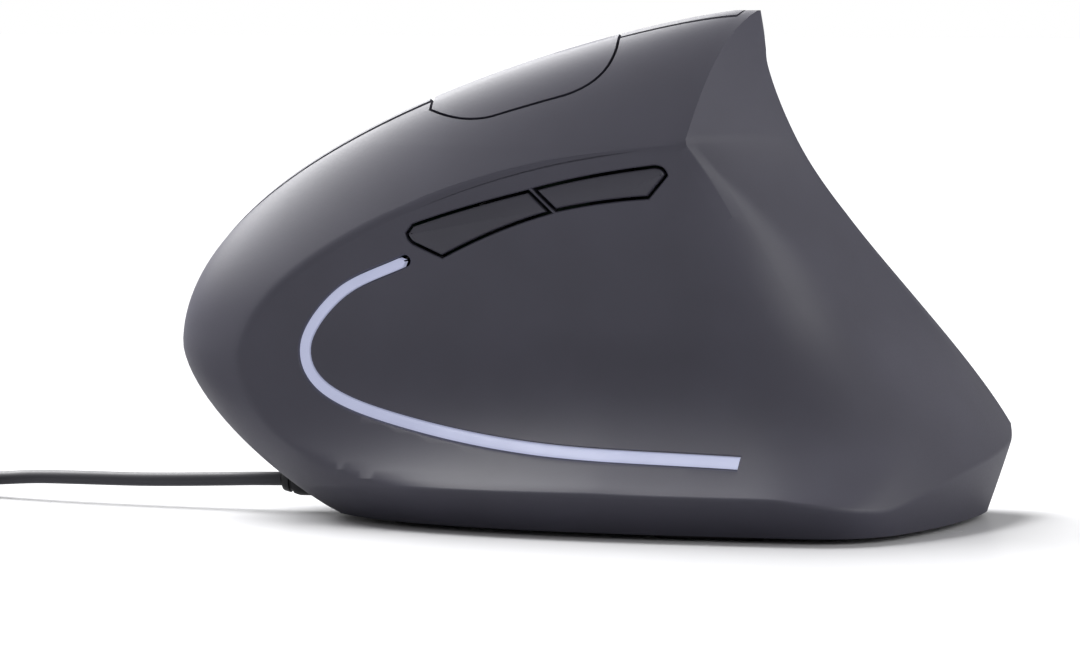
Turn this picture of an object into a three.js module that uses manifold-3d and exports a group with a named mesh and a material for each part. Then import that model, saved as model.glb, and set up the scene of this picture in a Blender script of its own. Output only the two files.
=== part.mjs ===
// Vertical (handshake) computer mouse for the right hand, with a USB cable.
// Millimetres, +Z up. The nose and cable point to -X, the thumb side faces -Y, the finger side +Y,
// and the origin lies on the table under the middle of the mouse.
import * as THREE from "three";
import { mergeVertices } from "three/addons/utils/BufferGeometryUtils.js";
import Module from "manifold-3d";

const wasm = await Module();
wasm.setup();

// ---- driving dimensions of the outer form -------------------------------------------------------
const NOSE_X = -60.4; // foremost point
const NOSE_Z = 25; // its height
const TOP_Z = 74.55; // where the two flanks would meet; the crest is a narrow flat just below
const CREST_FLAT = 0.15; // height taken off that edge
const APEX_X = 26; // rear end of the crest
const FOOT_GAP = 0.8; // the body stands this far off the table, on its feet
const CHIN_X = -36; // foremost point of the underside
const HALF_WIDTH = 31.4; // at the foot of the thumb face, and at the finger side's lower crease
const CREST_Y = -6; // the crest leans this far to the thumb side
const REAR_X = 60.4; // far rear corner
const WIDE_X = 28; // the body is full width behind this line
const WIDE_FORWARD = 26; // on the finger side that line moves this far forward up the body
const NOSE_RUN = 4; // least distance from the crest to the widest line
const NEAR_CREASE_Z = 6.5; // height of the crease above the skirt, thumb side
const FAR_CREASE_Z = 12; // the same, finger side
const THUMB_Y = 14.6; // depth of the thumb face at its deepest
const THUMB_MID_Z = 30; // height of that deepest line
const CORNER_Z = 56; // where thumb face, band and rear facet meet
const CORNER_X = 18.4;
const CORNER_BLEND = 14; // rounding between the thumb face and the rear facet
const SKIRT_NEAR_Y = 27.7; // underside half widths
const SKIRT_FAR_Y = 25;
const SKIRT_REAR_X = 57.6;

// ---- walls, fits and travel ---------------------------------------------------------------------
const WALL = 2; // shell wall
const FIT = 0.3; // gap between pieces that touch
const BUTTON_GAP = 0.45; // visible gap round a button
const SEAM = 1.2; // the seam runs this far to the thumb side of the crest
const PLATE_GAP = 0.65; // gap between a click plate and the thumb shell
const PLATE_T = 2; // base plate
const STRIP_WIDTH = 1.5; // light strip
const BUTTON_STROKE = 0.5;
const PLUNGER_GAP = 0.45; // a plunger rides with its button, so its bore leaves room for sideways travel
const BOARD_T = 1.6;

// ---- scroll wheel, and the deck of parts under the click plates ---------------------------------
const DECK_POINT = new THREE.Vector3(-33, 14, 40); // on the finger face, middle of the wheel slot
const DECK_NORMAL = new THREE.Vector3(-0.244, 0.802, 0.545).normalize();
const DECK_FORWARD = new THREE.Vector3(-0.855, 0, -0.518);
const WHEEL_R = 11;
const WHEEL_W = 7;
const WHEEL_DEPTH = 7.5; // axle below the finger face
const TYRE_T = 2.2;
const AXLE_R = 1.2;
const DECK_DEPTH = 11 + WALL; // top of the button board below the finger face

// ---- cable --------------------------------------------------------------------------------------
const CABLE_D = 2.1;
const EXIT = new THREE.Vector3(-45.2, 0, 4.7);
const RELIEF = { tip: 1.6, collar: 2.4, taper: 2.6, long: 8 }; // radii and lengths of the strain relief
const COIL = { x: -116.4, y: -0.5, r: 12.1, wide: 10.6, high: 8.5, z: 0.9 };
const TIE = { wide: 5, thick: 0.5 };
const CABLE_ROUTE = [
  [-45.5, 0, 4.7], [-50, 0.1, 4.6], [-56, 0.5, 4.35], [-62, 1.1, 4.1], [-68, 1.9, 3.9], [-74, 2.9, 3.8],
  [-80, 4.1, 3.7], [-86, 5.7, 3.5], [-92, 7.6, 3], [-97.5, 9.8, 2.45], [-102, 11.6, 2.1],
];

// ---- materials ----------------------------------------------------------------------------------
const finish = (color, roughness, metalness = 0) =>
  new THREE.MeshStandardMaterial({ color, roughness, metalness });
const SHELL = finish(0x4c4a54, 0.55);
const RUBBERY = finish(0x3b3a42, 0.7);
const GLOSS_BLACK = finish(0x1c1b20, 0.3);
const LIGHT = finish(0xdfe6ff, 0.3);
const BOARD = finish(0x1f5a36, 0.5);
const CHIP = finish(0x18181a, 0.4);
const WHITE = finish(0xe8e6e0, 0.5);
const STEEL = finish(0xb9bcc2, 0.3, 1);
const CLEAR = finish(0xdfe9ee, 0.1);
const LEAD = finish(0x2b2b30, 0.6);
const PTFE = finish(0x2a2a2c, 0.5);

// ---- solids -------------------------------------------------------------------------------------
function solid(geometry) {
  const bare = geometry.clone();
  bare.deleteAttribute("normal");
  bare.deleteAttribute("uv");
  const merged = mergeVertices(bare, 1e-4);
  return new wasm.Manifold(
    new wasm.Mesh({
      numProp: 3,
      vertProperties: merged.attributes.position.array,
      triVerts: new Uint32Array(merged.index.array),
    }),
  );
}

function geometryOf(piece) {
  const mesh = piece.getMesh();
  const g = new THREE.BufferGeometry();
  g.setAttribute("position", new THREE.BufferAttribute(new Float32Array(mesh.vertProperties), 3));
  g.setIndex(new THREE.BufferAttribute(new Uint32Array(mesh.triVerts), 1));
  g.computeVertexNormals();
  return g;
}

const mouse = new THREE.Group();

function add(name, shape, material, parent = mouse) {
  const geometry = shape.isBufferGeometry ? shape : geometryOf(shape);
  const mesh = new THREE.Mesh(geometry, material);
  mesh.name = name;
  parent.add(mesh);
  return mesh;
}

const box = (dx, dy, dz, x, y, z) => new THREE.BoxGeometry(dx, dy, dz).translate(x, y, z);
const slab = (x0, x1, y0, y1, z0, z1) =>
  solid(box(x1 - x0, y1 - y0, z1 - z0, (x0 + x1) / 2, (y0 + y1) / 2, (z0 + z1) / 2));

// A profile of radii and heights turned about Y.
const turned = (points, sides) =>
  new THREE.LatheGeometry(points.map(([r, y]) => new THREE.Vector2(r, y)), sides);

// A bar along Z, Y or X between two ends.
function rod(r, from, to, axis = "z", sides = 20) {
  const g = new THREE.CylinderGeometry(r, r, to - from, sides).translate(0, (from + to) / 2, 0);
  if (axis === "z") g.rotateX(Math.PI / 2);
  if (axis === "x") g.rotateZ(-Math.PI / 2);
  return g;
}

// ---- the outer form: three lofted bodies, and the mouse is what they share ----------------------
const clamp = (t) => Math.min(Math.max(t, 0), 1);
const ease = (t) => clamp(t) ** 2 * (3 - 2 * clamp(t));
const softMax = (a, b, r) => Math.max(a, b) + Math.max(r - Math.abs(a - b), 0) ** 2 / (4 * r);

// Side view of the crest and chin: two superellipse quarters that meet at the nose.
function frontX(z) {
  const quarter = (t, rise, run) => 1 - (1 - clamp(t) ** rise) ** (1 / run);
  if (z >= NOSE_Z) return NOSE_X + (APEX_X - NOSE_X) * quarter((z - NOSE_Z) / (TOP_Z - NOSE_Z), 2, 1.28);
  return NOSE_X + (CHIN_X - NOSE_X) * quarter((NOSE_Z - z) / (NOSE_Z - FOOT_GAP), 1.6, 1.12);
}
const crestY = (z) => CREST_Y * ease((z - 30) / 38);
// How far the band and the finger face reach from the middle at each height.
function bandHalf(z) {
  return -CREST_Y + (HALF_WIDTH + CREST_Y) * (Math.max(TOP_Z - z, 0) / (TOP_Z - NEAR_CREASE_Z)) ** 0.72;
}
function fingerHalf(z) {
  return CREST_Y + (HALF_WIDTH - CREST_Y) * (1 - (1 - clamp((TOP_Z - z) / (TOP_Z - FAR_CREASE_Z))) ** 1.4);
}

// Plan view at height z of the nose, band and finger face: below zero inside.
function flanks(x, y, z) {
  const front = frontX(z), crest = crestY(z);
  const power = 1 / (0.5 + 0.25 * ease((z - 30) / 30));
  if (y < crest) {
    const u = Math.max((WIDE_X - x) / (WIDE_X - front), 0);
    return ((crest - y) / Math.max(bandHalf(z) + crest, 0.05)) ** power + u ** 2.4 - 1;
  }
  const across = (y - crest) / Math.max(fingerHalf(z) - crest, 0.05);
  const widest = softMax(WIDE_X - WIDE_FORWARD * ease((z - 10) / 45), front + NOSE_RUN, 6);
  if (x < widest) return across ** power + ((widest - x) / (widest - front)) ** 2.2 - 1;
  const fall = 0.4 + 1.4 * (Math.max(z - 10, 0) / 50) ** 1.5;
  return across + fall * ((x - widest) / 60) ** 2 - 1;
}

// The hollow thumb face and the rear facet, with a soft corner between them.
function thumbSide(x, y, z) {
  const foot = 15.9 * (1 - clamp((10 - x) / 60) ** 1.4) + 0.9;
  const low = (Math.max(THUMB_MID_Z - z, 0) / (THUMB_MID_Z - NEAR_CREASE_Z)) ** 2.2;
  const high = (Math.max(z - THUMB_MID_Z, 0) / 25) ** 2;
  const thumb = -(THUMB_Y + foot * low + 1.6 * high) - y;
  const below = Math.max(CORNER_Z - z, 0);
  const cornerX = CORNER_X + 0.72 * below - 0.0042 * below ** 2;
  const cornerY = -17 - 12.8 * (below / 50) ** 2;
  const t = (TOP_Z - z) / (TOP_Z - 10.7);
  const edgeX = 28 + (REAR_X - 28) * Math.max(t, 0) ** 2.2 * (2.1 - 1.1 * t);
  const edgeY = CREST_Y + 34 * t;
  const s = (y - cornerY) / (edgeY - cornerY);
  const bulge = 1 + 1.8 * (1 - ease((z - 6) / 26));
  const across = s < 0 ? bulge * s : s > 1 ? 1 + 0.2 * (s - 1) : 1 - (1 - s) ** bulge;
  const rear = (x - (cornerX + (edgeX - cornerX) * across)) / 1.12;
  const blend = (CORNER_BLEND - 5 * (1 - ease((z - 4) / 14))) * ease((58 - z) / 24) + 0.01;
  return Math.max(softMax(thumb, rear, blend), -80 - x, y - 60);
}

// The skirt below the creases, narrowing to the underside.
function skirt(x, y, z) {
  const h = z - FOOT_GAP;
  const half = y < 0 ? SKIRT_NEAR_Y + 0.63 * h : SKIRT_FAR_Y + 0.62 * h;
  const u = Math.max((WIDE_X - x) / (WIDE_X - (CHIN_X - 1 - 1.7 * h)), 0);
  const side = (((y / half) ** 2 + u ** 2.4 - 1) * half) / 2;
  const rear = (x - (SKIRT_REAR_X - 0.0055 * (y - 16) ** 2 + 0.28 * h)) / 1.04;
  return softMax(side, rear, 9);
}

// A closed loft of level rings: at each height and angle the skin lies where face() is zero,
// moved in by inset. axis(z) is a point inside every ring.
function loft(face, axis, z0, z1, rings, sides, inset = 0, level = (z) => z) {
  const g = new THREE.CylinderGeometry(1, 1, 1, sides, rings).rotateX(Math.PI / 2);
  const p = g.attributes.position;
  for (let i = 0; i < p.count; i++) {
    const z = z0 + (z1 - z0) * (1 - (0.5 - p.getZ(i)) ** 1.25);
    const at = level(z), [ax, ay] = axis(at);
    const share = Math.hypot(p.getX(i), p.getY(i));
    const c = share ? p.getX(i) / share : 0, s = share ? p.getY(i) / share : 0;
    let near = 0, far = 120;
    for (let k = 0; k < 26; k++) {
      const mid = (near + far) / 2;
      if (face(ax + mid * c, ay + mid * s, at) < 0) near = mid;
      else far = mid;
    }
    const r = share > 0.5 ? Math.max(near - inset, 0.2) : 0;
    p.setXYZ(i, ax + r * c, ay + r * s, z);
  }
  return solid(g);
}

// The form moved in by inset: rings and sides set how fine it is.
function form(inset, z0, z1, fine) {
  const squeeze = (TOP_Z - NOSE_Z) / (TOP_Z - 1.1 * inset - NOSE_Z);
  const level = (z) => NOSE_Z + (z - NOSE_Z) * squeeze;
  const flankAxis = (z) => [(frontX(z) + WIDE_X) / 2, crestY(z)];
  const n = (count) => Math.round(count * fine);
  return loft(flanks, flankAxis, z0, z1, n(22), n(84), 1.2 * inset, level)
    .intersect(loft(thumbSide, () => [0, 25], z0, z1, n(22), n(96), 1.15 * inset))
    .intersect(loft(skirt, () => [8, 0], z0, z1, n(12), n(60), 1.1 * inset));
}

const CREST_Z = TOP_Z - CREST_FLAT;
const CAVITY_TOP = TOP_Z - 6; // above this the crest is solid
const body = form(0, FOOT_GAP, CREST_Z, 0.8);
const inside = (inset) => form(inset, FOOT_GAP - 2, CAVITY_TOP, 0.5);
const cavity = inside(WALL);
const wall = body.subtract(cavity);

// ---- outlines drawn in side view (x, z) and carried across in Y ---------------------------------
const outline = (points) => new THREE.Shape(points.map(([x, z]) => new THREE.Vector2(x, z)));

// The same outline moved out by d, or in where d is negative.
function offset(shape, d, steps = 6) {
  let points = shape.getPoints(steps);
  if (points[0].distanceTo(points.at(-1)) < 1e-6) points = points.slice(0, -1);
  if (THREE.ShapeUtils.area(points) < 0) points.reverse();
  const normal = (a, b) => new THREE.Vector2(b.y - a.y, a.x - b.x).normalize();
  return new THREE.Shape(points.map((p, i) => {
    const before = normal(points.at(i - 1), p), after = normal(p, points[(i + 1) % points.length]);
    const mitre = before.clone().add(after).normalize();
    return p.clone().addScaledVector(mitre, d / Math.max(mitre.dot(after), 0.5));
  }));
}

// lean moves the outline by that much in z for each mm of y, counted from leanY.
function prism(shape, y0, y1, lean = 0, leanY = 0) {
  const g = new THREE.ExtrudeGeometry(shape, { depth: y1 - y0, bevelEnabled: false, curveSegments: 6 });
  const p = g.attributes.position;
  for (let i = 0; i < p.count; i++) {
    const y = y1 - p.getZ(i);
    p.setXYZ(i, p.getX(i), y, p.getY(i) + lean * (y - leanY));
  }
  return solid(g);
}

// The finger side of the seam: behind the crest line, above the lower seam and ahead of the rear facet.
function fingerSide(gap) {
  const line = [];
  for (let z = 8; z <= 80; z += 4) line.push([crestY(z) - SEAM + gap, z]);
  const section = outline([...line, [60, 80], [60, 8]]);
  const across = new THREE.ExtrudeGeometry(section, { depth: 140, bevelEnabled: false });
  const p = across.attributes.position;
  for (let i = 0; i < p.count; i++) p.setXYZ(i, p.getZ(i) - 70, p.getX(i), p.getY(i));
  const lower = outline([[-70, 25.5 + gap], [-36, 13.5 + gap], [75, 13.5 + gap], [75, 90], [-70, 90]]);
  return solid(across)
    .intersect(prism(lower, -30, 60))
    .intersect(loft(thumbSide, () => [0, 25], 5, 80, 14, 64, 1.4 + gap));
}

// ---- button outlines ----------------------------------------------------------------------------
function forwardOutline() {
  const s = new THREE.Shape();
  s.moveTo(-22.2, 42.2);
  s.quadraticCurveTo(-21.9, 41.2, -21.2, 40.8);
  s.lineTo(-17, 38.9);
  s.quadraticCurveTo(-9, 43.2, -0.9, 45.5);
  s.lineTo(-4, 48.5);
  s.quadraticCurveTo(-13, 46.3, -21.3, 43.4);
  s.closePath();
  return s;
}

function backOutline() {
  const s = new THREE.Shape();
  s.moveTo(-3.1, 48.8);
  s.lineTo(0, 45.8);
  s.quadraticCurveTo(6.5, 47.3, 13.6, 47.8);
  s.lineTo(16.3, 51);
  s.quadraticCurveTo(16, 52.3, 14.4, 52.2);
  s.quadraticCurveTo(5, 51, -3.1, 48.8);
  return s;
}

// The mode button hangs from the crest, so its heights are depths below the top.
function dpiOutline() {
  const s = new THREE.Shape(), down = (depth) => TOP_Z - depth;
  s.moveTo(-20.6, down(13.35));
  s.quadraticCurveTo(-15.4, down(17.15), -10.6, down(16.35));
  s.lineTo(0.6, down(13.35));
  s.quadraticCurveTo(6.9, down(11.15), 7.4, down(4.55));
  s.lineTo(7.4, down(-11.45));
  s.lineTo(-20.6, down(-11.45));
  s.closePath();
  return s;
}

function stripOutline(width) {
  const centre = new THREE.SplineCurve(
    [[-22.6, 38.2], [-32.3, 33.5], [-37.6, 26], [-34.5, 19.6], [-22.4, 15.3], [-1.4, 12.1], [29, 10.9]]
      .map(([x, z]) => new THREE.Vector2(x, z)));
  const steps = 20, left = [], right = [];
  for (let i = 0; i <= steps; i++) {
    const p = centre.getPointAt(i / steps), t = centre.getTangentAt(i / steps);
    left.push([p.x - (t.y * width) / 2, p.y + (t.x * width) / 2]);
    right.push([p.x + (t.y * width) / 2, p.y - (t.x * width) / 2]);
  }
  return outline([...left, ...right.reverse()]);
}

// The two click plates share one slanting split, which the wheel slot lies on.
const SPLIT = { slope: 0.606, x: -60, z: 21.5 };
const splitZ = (x) => SPLIT.z + SPLIT.slope * (x - SPLIT.x);
const PLATE_END = { x: -17.2, top: -20.9, low: -9 };
const leftOutline = () => outline([
  [-75, splitZ(-75)], [PLATE_END.x, splitZ(PLATE_END.x)], [PLATE_END.top, 60], [PLATE_END.top, 95], [-75, 95],
]);
const rightOutline = () => outline([
  [-75, 8], [-47, 16.6], [PLATE_END.low, 22.5], [PLATE_END.x, splitZ(PLATE_END.x)], [-75, splitZ(-75)],
]);

// ---- deck frame: x forward along the fingers, y up the finger face, z out of it -----------------
const deck = new THREE.Group();
{
  const slant = DECK_FORWARD.dot(DECK_NORMAL);
  const forward = DECK_FORWARD.clone().addScaledVector(DECK_NORMAL, -slant).normalize();
  const across = new THREE.Vector3().crossVectors(DECK_NORMAL, forward);
  deck.matrix.makeBasis(forward, across, DECK_NORMAL).setPosition(DECK_POINT);
  deck.matrix.decompose(deck.position, deck.quaternion, deck.scale);
  deck.name = "deck";
  mouse.add(deck);
}
const onDeck = (geometry) => solid(geometry.applyMatrix4(deck.matrix));

// ---- shells -------------------------------------------------------------------------------------
const forwardShape = forwardOutline(), backShape = backOutline(), dpiShape = dpiOutline();
const LEAN = -0.6; // the mode button presses down as it goes in
const DPI_Y = -10;
const nearCut = (shape) => prism(offset(shape, BUTTON_GAP / 2), -45, -9);
const dpiCut = (d) => prism(offset(dpiShape, d), -30, 3 + d, LEAN, DPI_Y);
const SLOT_LENGTH = 2 * Math.sqrt(WHEEL_R ** 2 - (WHEEL_DEPTH - WALL - 0.6) ** 2) + 1.6;
const slot = onDeck(box(SLOT_LENGTH, WHEEL_W + 1.6, 12, 0, 0, -1));
const SCREWS = [[-18, -14], [36, -22], [42, 17]];
const SCREW_R = 1, HEAD_R = 2, BOSS_R = 3.2, PILOT_R = 1.4, BOSS_TOP = 12;
const PLATE_TOP = FOOT_GAP + PLATE_T;

function thumbShell() {
  let shell = wall.subtract(fingerSide(0));
  const edge = form(WALL / 3, FOOT_GAP, 20, 0.5), low = PLATE_TOP + FIT;
  for (const [x, y] of SCREWS) {
    const out = Math.sign(y) * 9;
    const post = solid(rod(BOSS_R, low, BOSS_TOP).translate(x, y, 0));
    const rib = slab(x - 1, x + 1, Math.min(y, y + out), Math.max(y, y + out), low, BOSS_TOP);
    shell = shell.add(post.add(rib).intersect(edge));
    const pilot = rod(PILOT_R, 0, BOSS_TOP - 1.5, "z", 16);
    shell = shell.subtract(solid(pilot.translate(x, y, 0)));
  }
  shell = shell.subtract(nearCut(forwardShape)).subtract(nearCut(backShape));
  shell = shell.subtract(prism(stripOutline(STRIP_WIDTH + 2 * FIT), -45, -9));
  shell = shell.subtract(dpiCut(BUTTON_GAP / 2));
  const outlet = solid(rod(RELIEF.collar + FIT, -70, -30, "x", 24).translate(0, EXIT.y, EXIT.z));
  return shell.subtract(outlet);
}

function palmShell() {
  const half = BUTTON_GAP / 2;
  return wall
    .intersect(fingerSide(FIT))
    .subtract(prism(offset(leftOutline(), half), -40, 60))
    .subtract(prism(offset(rightOutline(), half), -40, 60))
    .subtract(dpiCut(half));
}

// A click plate carries a post that reaches down to its switch.
const CLICK = { long: 12.8, wide: 5.8, high: 5, cap: 1.1, proud: 0.5, forward: 10, up: 10 };
const POST_END = DECK_DEPTH - CLICK.high - CLICK.proud - 3 * FIT; // depth of the post's tip
function clickPlate(shape, side) {
  const post = onDeck(box(3, 3, POST_END - 1.3, CLICK.forward, side * CLICK.up, -(POST_END + 1.3) / 2));
  return wall
    .intersect(fingerSide(PLATE_GAP))
    .intersect(prism(offset(shape, -BUTTON_GAP / 2), -40, 60))
    .add(post.intersect(body))
    .subtract(slot)
    .subtract(dpiCut(BUTTON_GAP / 2));
}

add("thumb_shell", thumbShell(), SHELL);
add("palm_shell", palmShell(), SHELL);
add("left_click_plate", clickPlate(leftOutline(), 1), SHELL);
add("right_click_plate", clickPlate(rightOutline(), -1), SHELL);

// ---- small buttons in the thumb side ------------------------------------------------------------
const THUMB_BOARD_Y = -3; // face of the board that carries the two thumb switches
const TACT = { side: 6, high: 3.5, cap: 1.5, proud: 1.2 };
const capEnd = TACT.high + FIT + TACT.proud; // above the board
const forwardSwitch = [-9.5, 44.7], backSwitch = [6, 49];
function thumbButton(shape, [x, z]) {
  const post = slab(x - 1.2, x + 1.2, -THUMB_Y, THUMB_BOARD_Y - capEnd - FIT, z - 1.2, z + 1.2);
  return wall.intersect(prism(offset(shape, -BUTTON_GAP / 2), -45, -9)).add(post);
}
add("forward_button", thumbButton(forwardShape, forwardSwitch), RUBBERY);
add("back_button", thumbButton(backShape, backSwitch), RUBBERY);

const DPI_SWITCH = { x: -7, y: -5, z: TOP_Z - 18.55 };
{
  const post = slab(DPI_SWITCH.x - 1.2, DPI_SWITCH.x + 1.2, DPI_SWITCH.y - 1.2, DPI_SWITCH.y + 1.2,
    DPI_SWITCH.z + capEnd + FIT, TOP_Z - 9.05);
  add("dpi_button", wall.intersect(dpiCut(-BUTTON_GAP / 2)).add(post), SHELL);
}
add("light_strip", wall.intersect(prism(stripOutline(STRIP_WIDTH), -45, -9)), LIGHT);

// ---- base ---------------------------------------------------------------------------------------
const WINDOW = { x: 4, y: 0, long: 12, wide: 8 };
{
  let plate = inside(WALL + FIT)
    .intersect(slab(-70, 70, -40, 40, FOOT_GAP, PLATE_TOP));
  for (const [x, y] of SCREWS) {
    plate = plate.subtract(solid(rod(SCREW_R + FIT, 0, 5, "z", 16).translate(x, y, 0)));
    plate = plate.subtract(solid(rod(HEAD_R + FIT, 0, FOOT_GAP + 1, "z", 20).translate(x, y, 0)));
  }
  plate = plate.subtract(slab(WINDOW.x - WINDOW.long / 2, WINDOW.x + WINDOW.long / 2,
    WINDOW.y - WINDOW.wide / 2, WINDOW.y + WINDOW.wide / 2, 0, 5));
  add("base_plate", plate, RUBBERY);
}

// Feet: three low-friction pads with round ends, just clear of the plate they stick to.
const FOOT_CLEAR = 0.05;
function foot(name, x, y, long, wide, turn) {
  const r = wide / 2, s = new THREE.Shape();
  s.absarc(long / 2 - r, 0, r, -Math.PI / 2, Math.PI / 2);
  s.absarc(-long / 2 + r, 0, r, Math.PI / 2, (3 * Math.PI) / 2);
  const depth = FOOT_GAP - FOOT_CLEAR;
  const g = new THREE.ExtrudeGeometry(s, { depth, bevelEnabled: false, curveSegments: 8 });
  const mesh = add(name, g, PTFE);
  mesh.position.set(x, y, 0);
  mesh.rotation.z = turn;
}
foot("front_foot", -23, 2, 22, 5, Math.PI / 2);
foot("rear_thumb_foot", 24, -21.5, 16, 5, 0);
foot("rear_finger_foot", 49, 6, 16, 5, 1.25);

{
  const screw = turned([[0, 1], [HEAD_R, 1], [HEAD_R, 1.5], [SCREW_R, 1.5], [SCREW_R, 9], [0, 9.8]], 16);
  screw.rotateX(Math.PI / 2);
  SCREWS.forEach(([x, y], i) => add(`base_screw_${i + 1}`, screw, STEEL).position.set(x, y, 0));
}

// ---- main board, sensor and cable end -----------------------------------------------------------
const MAIN_Z = 9;
const HOLE = 4; // half width of the opening in the board under the sensor
const ON_MAIN = MAIN_Z + BOARD_T + FIT; // where the parts on the board start
add("main_board", slab(-31, 20, -9.5, 15, MAIN_Z, MAIN_Z + BOARD_T)
  .subtract(slab(WINDOW.x - HOLE, WINDOW.x + HOLE, -HOLE, HOLE, 0, 20)), BOARD);
add("sensor_lens", slab(WINDOW.x - 9, WINDOW.x + 9, -5.5, 5.5, 4.4, 6)
  .add(solid(rod(3, 3.2, 8.2).translate(WINDOW.x, 0, 0))), CLEAR);
add("sensor_chip", box(11, 12, 3, WINDOW.x, 0, ON_MAIN + 1.5), CHIP);
add("sensor_lamp", rod(1.5, WINDOW.x + 7, WINDOW.x + 12, "x", 16).translate(0, 0, ON_MAIN + 1.6), LIGHT);
add("controller_chip", box(7, 7, 1.2, -10, 4, ON_MAIN + 0.6), CHIP);
add("cable_socket", box(5, 10, 4.6, -25, -4, ON_MAIN + 2.3), WHITE);

// ---- switches: a body with a bore, and a plunger in it, both pointing to local +Z ---------------
function pressSwitch(name, parent, at, size, cap, proud, stroke) {
  const [dx, dy, dz] = size, deep = stroke + 0.9;
  const group = new THREE.Group();
  group.position.set(...at);
  parent.add(group);
  const shell = solid(box(dx, dy, dz, 0, 0, dz / 2))
    .subtract(solid(rod(cap + PLUNGER_GAP, dz - deep, dz + 1, "z", 14)));
  add(`${name}_switch`, shell, CHIP, group);
  add(`${name}_plunger`, rod(cap, dz - deep + stroke + FIT, dz + FIT + proud, "z", 14), WHITE, group);
  return group;
}

// Click switches stand on the button board; their plungers end FIT below the plates' posts.
add("button_board", solid(box(36, 26, BOARD_T, -1.2, -0.8, -DECK_DEPTH - BOARD_T / 2))
  .subtract(solid(box(2 * WHEEL_R, WHEEL_W + 2.6, 4, 0, 0, -DECK_DEPTH))), BOARD, deck);
const CLICK_SIZE = [CLICK.long, CLICK.wide, CLICK.high];
const clickAt = (side) => [CLICK.forward, side * CLICK.up, -DECK_DEPTH + FIT];
pressSwitch("left_click", deck, clickAt(1), CLICK_SIZE, CLICK.cap, CLICK.proud, BUTTON_STROKE);
pressSwitch("right_click", deck, clickAt(-1), CLICK_SIZE, CLICK.cap, CLICK.proud, BUTTON_STROKE);

// Thumb switches face the thumb side.
const thumbDeck = new THREE.Group();
thumbDeck.position.set(0, THUMB_BOARD_Y, 0);
thumbDeck.rotation.x = Math.PI / 2;
mouse.add(thumbDeck);
add("thumb_board", box(31, 13, BOARD_T, 2.7, 46, -BOARD_T / 2), BOARD, thumbDeck);
const TACT_SIZE = [TACT.side, TACT.side, TACT.high];
const tactAt = ([x, z]) => [x, z, FIT];
const TACT_CAP = [TACT.cap, TACT.proud - FIT, BUTTON_STROKE];
pressSwitch("forward", thumbDeck, tactAt(forwardSwitch), TACT_SIZE, ...TACT_CAP);
pressSwitch("back", thumbDeck, tactAt(backSwitch), TACT_SIZE, ...TACT_CAP);

// ---- scroll wheel -------------------------------------------------------------------------------
const wheel = new THREE.Group();
wheel.position.set(0, 0, -WHEEL_DEPTH);
deck.add(wheel);
const HUB_R = WHEEL_R - TYRE_T - FIT, BORE_R = AXLE_R + FIT, half = WHEEL_W / 2;
const hub = [[BORE_R, -half], [HUB_R, -half], [HUB_R, half], [BORE_R, half], [BORE_R, -half]];
add("wheel_hub", turned(hub, 28), GLOSS_BLACK, wheel);
const side = half - 0.4, shoulder = 0.9; // the tyre is narrower than the hub, with chamfered edges
const tyre = [
  [HUB_R + FIT, -side], [WHEEL_R - shoulder, -side], [WHEEL_R, shoulder - side], [WHEEL_R, side - shoulder],
  [WHEEL_R - shoulder, side], [HUB_R + FIT, side], [HUB_R + FIT, -side],
];
add("wheel_tyre", turned(tyre, 28), RUBBERY, wheel);
add("wheel_axle", rod(AXLE_R, -8.5, 6.6, "y", 16), STEEL, wheel);
const CHEEK = 1.6, FRAME_W = WHEEL_W + 2.4, FRAME_L = 2 * WHEEL_R + 1.6;
const frameOuter = box(FRAME_L + 2 * CHEEK, FRAME_W + 2 * CHEEK, 4, 0, 0, 0);
add("wheel_frame", solid(frameOuter)
  .add(solid(box(6, 5, 1.5, -FRAME_L / 2 - CHEEK - 2, 0, 1.2)))
  .subtract(solid(box(FRAME_L, FRAME_W, 8, 0, 0, 0)))
  .subtract(solid(rod(AXLE_R + FIT, -20, 20, "y", 16))), GLOSS_BLACK, wheel);
add("wheel_encoder", box(6, 4, 6.4, 0, -(FRAME_W / 2 + CHEEK + FIT + 4), -2), CHIP, wheel);

// The frame's rear tab works the middle switch.
const TAB_DEPTH = WHEEL_DEPTH - 0.45; // underside of the tab
const middleHigh = DECK_DEPTH - TAB_DEPTH - 2 * FIT - TACT.proud;
pressSwitch("middle_click", deck, [-FRAME_L / 2 - CHEEK - 3, 0, -DECK_DEPTH + FIT], [5, 5, middleHigh],
  TACT.cap, TACT.proud - FIT, BUTTON_STROKE);

// ---- mode (DPI) switch, under the crest ---------------------------------------------------------
add("dpi_board", box(14, 7, BOARD_T, DPI_SWITCH.x, DPI_SWITCH.y, DPI_SWITCH.z - BOARD_T / 2), BOARD);
const dpiAt = [DPI_SWITCH.x, DPI_SWITCH.y, DPI_SWITCH.z + FIT];
pressSwitch("dpi", mouse, dpiAt, TACT_SIZE, ...TACT_CAP);

// ---- strain relief, cable, coil and plug --------------------------------------------------------
{
  const { tip, collar, taper, long } = RELIEF;
  const relief = turned([[0, 0], [tip, 0], [collar, taper], [collar, long], [0, long]], 20);
  relief.rotateZ(-Math.PI / 2);
  add("strain_relief", relief, LEAD).position.copy(EXIT);
}

function tube(points, r, steps, sides) {
  const s = new THREE.Shape();
  s.absarc(0, 0, r, 0, 2 * Math.PI);
  const path = new THREE.CatmullRomCurve3(points.map((p) => new THREE.Vector3(...p)), false, "centripetal");
  return new THREE.ExtrudeGeometry(s, { steps, extrudePath: path, curveSegments: sides });
}
add("cable", tube(CABLE_ROUTE, CABLE_D / 2, 26, 4), LEAD);

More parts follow.
